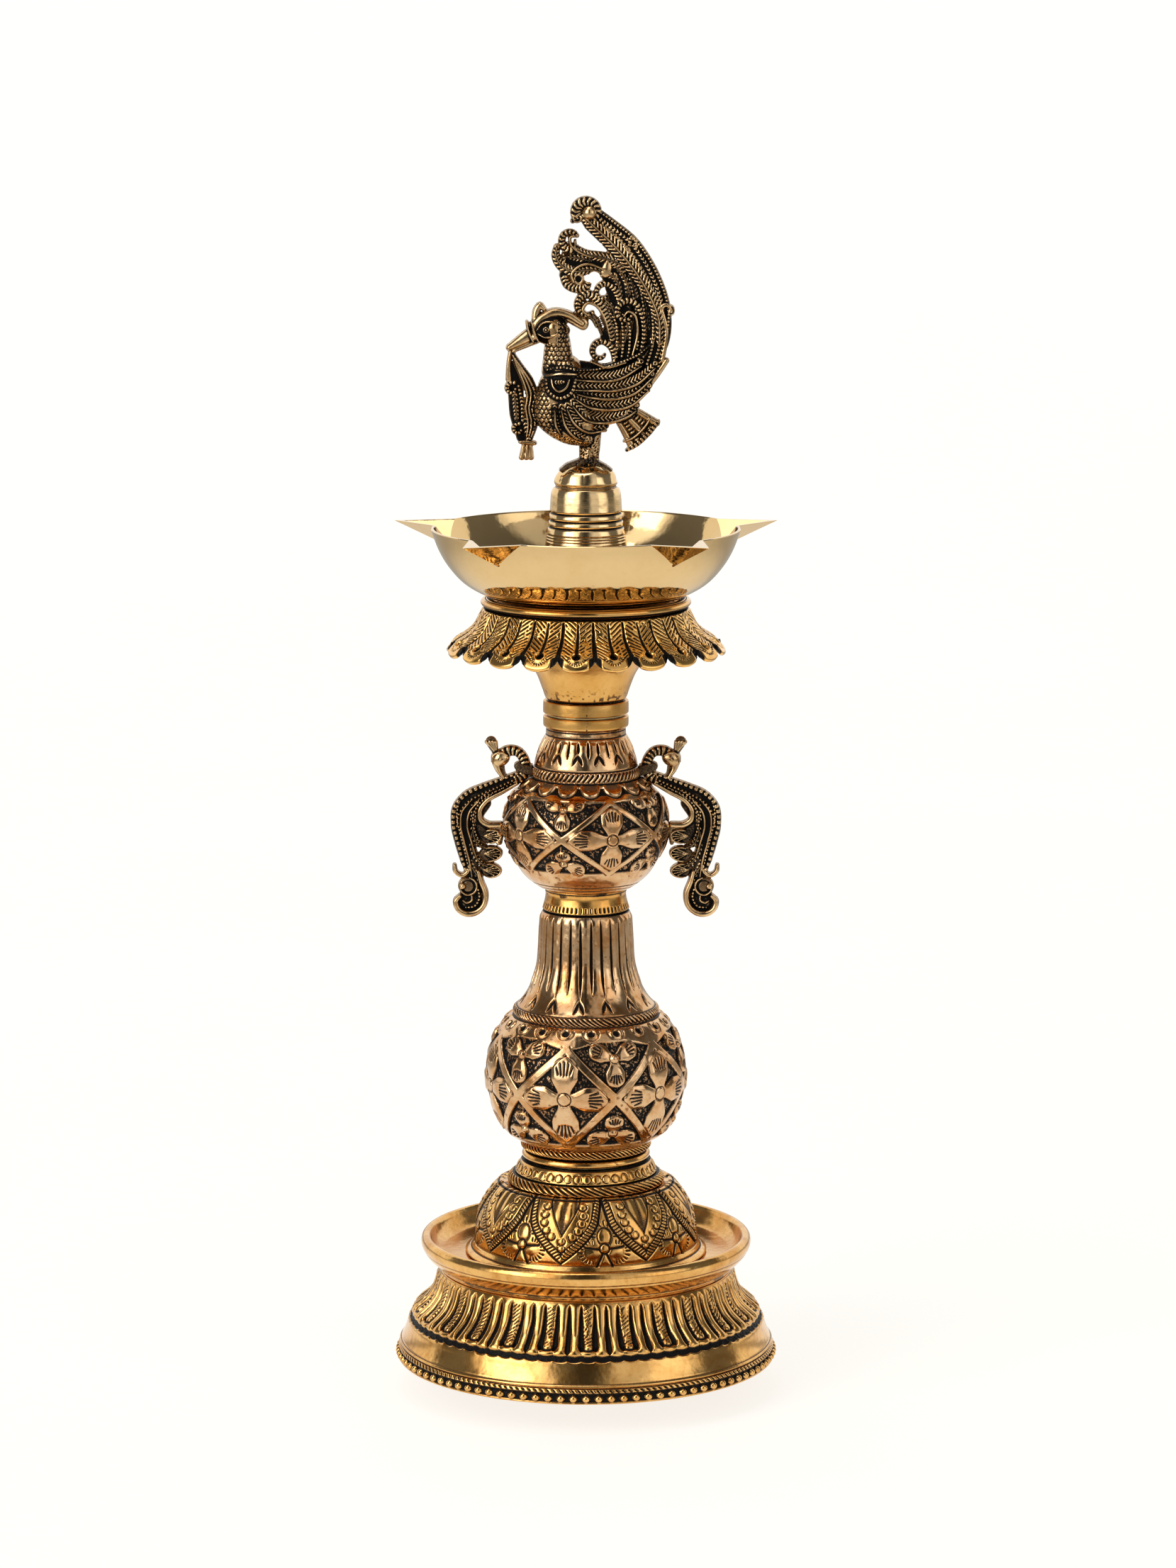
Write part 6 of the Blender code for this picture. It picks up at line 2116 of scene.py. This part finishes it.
def handle_foot(bar, lump):
    # cup curl
    bar([(50.2, 219.6), (51.4, 216), (54, 214.4), (56.6, 216.2), (57, 218.8)],
        [1, 1.2, 1.2, 1.2, 1], base=1.8, bulge=1.6)
    # dark disc with its knob
    lump((51.2, 209.6), (4.4, 4.4), base=1.2, bulge=1.8, tone=0.42, ring=0.60)
    bar(spiral((51.2, 209.6), 4.0, 100, 250, 0.85, 9),
        [0.7, 0.8, 0.8, 0.8, 0.8, 0.8, 0.8, 0.7, 0.6], base=2.4, bulge=1.3)
    lump((53.4, 209.8), (1.6, 1.6), base=2.4, bulge=2.0)
    # bottom scroll over its web
    lump((50.2, 203.2), (5.6, 5.4), base=0.9, bulge=1.0, tone=0.42)
    lump((47.2, 209.6), (3.4, 4.6), base=0.9, bulge=1.0, tone=0.42)
    bar([(47.2, 213.4), (46.9, 209), (46.3, 204.6), (48.4, 200.9), (52.2, 200.3)],
        [0.5, 0.75, 0.8, 0.8, 0.6], base=1.9, bulge=1.2, knurl=1.2, depth=0.3, rim=0.4)
    bar([(49.6, 205.6), (49.6, 203.4), (51.8, 202.4), (53.4, 203.4)], [0.6, 0.8, 0.8, 0.6],
        base=1.9, bulge=1.2, rim=0.4)
    bar([(46.6, 216), (45.6, 212), (43.6, 206.2), (44.6, 201), (48.2, 197.9), (52.4, 197.6),
         (55.6, 199.8), (56.4, 203.2), (54.6, 205.4)],
        [1.2, 1.4, 1.4, 1.5, 1.6, 1.6, 1.5, 1.4, 1.1], base=1.9, bulge=1.9)


def make_handle(name, mirror, braze):
    """braze adds two small lumps where the handle meets the vase."""
    cast = Casting(x_range=(23.0, 60.0), z_range=(194.5, 275.5), step=0.27)
    bar, lump = cast.bar, cast.lump
    handle_head(bar, lump)
    handle_back(bar, lump)
    for centre, radii, tilt in HANDLE_LOBES:
        handle_lobe(bar, lump, centre, radii, tilt)
    bar([(40, 236), (36.6, 235), (36.9, 231.6), (37.2, 228.6)], [1, 1.4, 1.3, 1],
        base=1.8, bulge=1.4, tone=0.4)
    if braze:
        lump((37.6, 232.8), (1.5, 1.1), tilt=30, base=3.0, bulge=1.4)
        lump((37.9, 228.9), (1.2, 1.3), base=2.6, bulge=1.2)
    handle_foot(bar, lump)
    cast.build(name, "stem", mirror)


make_handle("handle_left", mirror=-1.0, braze=True)
make_handle("handle_right", mirror=1.0, braze=False)

# ---------------------------------------------------------------- hidden hardware, as in the CAD

HIDDEN_NODES = (
    "base_rod", "base_washer", "base_nut", "base_locknut", "stem_washer", "vase_nipple",
    "coupling_washer", "neck_locknut", "head_rod", "bowl_nut", "finial_washer",
)

for node_name in HIDDEN_NODES:
    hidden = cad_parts[node_name]
    if hidden.material_slots:
        for material_slot in hidden.material_slots:
            material_slot.material = PLAIN_BRASS
    else:
        hidden.data.materials.append(PLAIN_BRASS)

# ---------------------------------------------------------------- floor (in metres)

FLOOR_HALF_WIDTH = 8.0
# (z, y) of the floor and the backdrop it curves up into
FLOOR_PROFILE = [(0, -7), (0, -3.2), (0, 1.2), (0.05, 1.9), (0.5, 2.5), (1.4, 2.8), (3.2, 2.9)]


def floor_material():
    """A glowing pale floor, clear from behind so that the lamp can be seen from there too."""
    material, graph = new_material("studio_floor")
    output = graph.node("OutputMaterial")
    shader = graph.node("BsdfPrincipled")
    clear = graph.node("BsdfTransparent")
    geometry = graph.node("NewGeometry")
    sides = graph.node("MixShader")
    graph.link(geometry.outputs["Backfacing"], sides.inputs[0])
    graph.link(shader.outputs[0], sides.inputs[1])
    graph.link(clear.outputs[0], sides.inputs[2])
    graph.link(sides.outputs[0], output.inputs[0])
    texture = graph.node("TexCoord")
    grain = graph.noise(texture.outputs["Object"], scale=3.0, detail=3.0, roughness=0.5)

    # in reflections the floor falls off away from the lamp
    position = graph.node("NewGeometry").outputs["Position"]
    length = graph.node("VectorMath")
    length.operation = "LENGTH"
    graph.link(position, length.inputs[0])
    far = graph.ramp(length.outputs["Value"], 0.30, 1.1, at_high=0.72)
    split = graph.node("SeparateXYZ")
    graph.link(position, split.inputs[0])
    low = graph.ramp(split.outputs[2], 0.05, 0.35, at_low=1.0, at_high=0.0)
    far = graph.math("MULTIPLY", far, low)
    ray = graph.node("LightPath")
    loss = graph.math("MULTIPLY", far, ray.outputs["Is Glossy Ray"])
    keep = graph.math("SUBTRACT", 1.0, loss)

    colour = graph.mix(grain, (0.24, 0.236, 0.224), (0.26, 0.256, 0.244))
    graph.link(colour, shader.inputs["Base Color"])
    shader.inputs["Roughness"].default_value = 0.9
    shader.inputs["Specular IOR Level"].default_value = 0.1
    glow = graph.mix(grain, (1.0, 0.982, 0.93), (1.0, 0.985, 0.94))
    graph.link(glow, shader.inputs["Emission Color"])
    graph.link(graph.math("MULTIPLY", keep, 0.83), shader.inputs["Emission Strength"])
    return material


def make_floor():
    profile = catmull(FLOOR_PROFILE, 0.08)
    verts = [(x, y, z) for z, y in profile for x in (-FLOOR_HALF_WIDTH, FLOOR_HALF_WIDTH)]
    faces = [(2 * i, 2 * i + 1, 2 * i + 3, 2 * i + 2) for i in range(len(profile) - 1)]
    mesh = bpy.data.meshes.new("studio_floor")
    mesh.from_pydata(verts, [], faces)
    mesh.shade_smooth()
    obj = bpy.data.objects.new("studio_floor", mesh)
    mesh.materials.append(floor_material())
    bpy.context.scene.collection.objects.link(obj)


make_floor()

# ---------------------------------------------------------------- world, lights and camera


def make_world():
    """Reflections: a bright panel to the front left, a dark strip in front, a mild right side."""
    world = bpy.data.worlds.new("studio")
    bpy.context.scene.world = world
    world.use_nodes = True
    graph = Graph(world.node_tree)
    calc, ramp = graph.math, graph.ramp
    output = graph.node("OutputWorld")
    background = graph.node("Background")
    graph.link(background.outputs[0], output.inputs[0])
    texture = graph.node("TexCoord")
    split = graph.node("SeparateXYZ")
    graph.link(texture.outputs["Generated"], split.inputs[0])
    x, y, z = split.outputs
    # degrees from the front (-Y), growing to the right (+X)
    azimuth = calc("ARCTAN2", x, calc("MULTIPLY", y, -1.0))
    azimuth = calc("MULTIPLY", azimuth, 180.0 / math.pi)

    def band(rise, fall, level):
        """A panel that fades in over the rise angles and out over the fall angles."""
        fade_in = ramp(azimuth, *rise)
        fade_out = ramp(azimuth, *fall, at_low=1.0, at_high=0.0)
        return calc("MULTIPLY", calc("MULTIPLY", fade_in, fade_out), level)

    left = band(rise=(-80.0, -64.0), fall=(-27.0, -19.0), level=1.85)
    right = band(rise=(12.0, 18.0), fall=(60.0, 78.0), level=0.62)
    level = calc("ADD", left, right)
    dark = band(rise=(-12.0, -6.0), fall=(6.0, 11.0), level=0.12)
    level = calc("ADD", level, 0.17)
    level = calc("SUBTRACT", level, dark)
    level = calc("MULTIPLY", level, ramp(z, 0.25, 0.85, at_low=1.0, at_high=0.72))
    tint = graph.mix(ramp(z, -0.1, 0.6), (1.0, 0.985, 0.955), (0.99, 0.99, 1.0))
    grey = graph.node("CombineColor")
    for i in range(3):
        graph.link(level, grey.inputs[i])
    reflected = graph.mix(1.0, tint, grey.outputs[0], blend="MULTIPLY")
    # the camera itself sees an even warm white
    ray = graph.node("LightPath")
    final = graph.mix(ray.outputs["Is Camera Ray"], reflected, (1.0, 0.982, 0.935))
    graph.link(final, background.inputs["Color"])
    background.inputs["Strength"].default_value = 1.0


def area_light(name, place, target, size, power, colour=(1, 1, 1)):
    """A rectangular light, in metres and watts, hidden from the camera."""
    data = bpy.data.lights.new(name, "AREA")
    data.shape = "RECTANGLE"
    data.size, data.size_y = size
    data.energy = power
    data.color = colour
    light = bpy.data.objects.new(name, data)
    light.location = place
    direction = mathutils.Vector(target) - mathutils.Vector(place)
    light.rotation_euler = direction.to_track_quat("-Z", "Y").to_euler()
    bpy.context.scene.collection.objects.link(light)
    light.visible_camera = False


def make_camera():
    data = bpy.data.cameras.new("camera")
    data.sensor_width = 36.0
    data.lens = 124.05
    camera = bpy.data.objects.new("camera", data)
    camera.location = (0.0009, -2.3065, 0.6465)
    camera.rotation_euler = (math.radians(80.35), 0.0, 0.0)
    bpy.context.scene.collection.objects.link(camera)
    bpy.context.scene.camera = camera


make_world()
area_light(
    "key_left", place=(-1.9, -1.5, 1.3), target=(0, 0, 0.25), size=(1.2, 1.8), power=15.0,
    colour=(1.0, 0.99, 0.97),
)
area_light(
    "fill_right", place=(2.0, -1.2, 1.0), target=(0, 0, 0.25), size=(1.4, 1.6), power=5.0,
    colour=(1.0, 0.99, 0.98),
)
area_light("top", place=(-0.25, 0.1, 2.4), target=(0, 0, 0), size=(1.6, 1.1), power=11.0)
make_camera()

view = bpy.context.scene.view_settings
view.view_transform = "Standard"
view.look = "None"
view.exposure = 0.0
view.gamma = 1.0
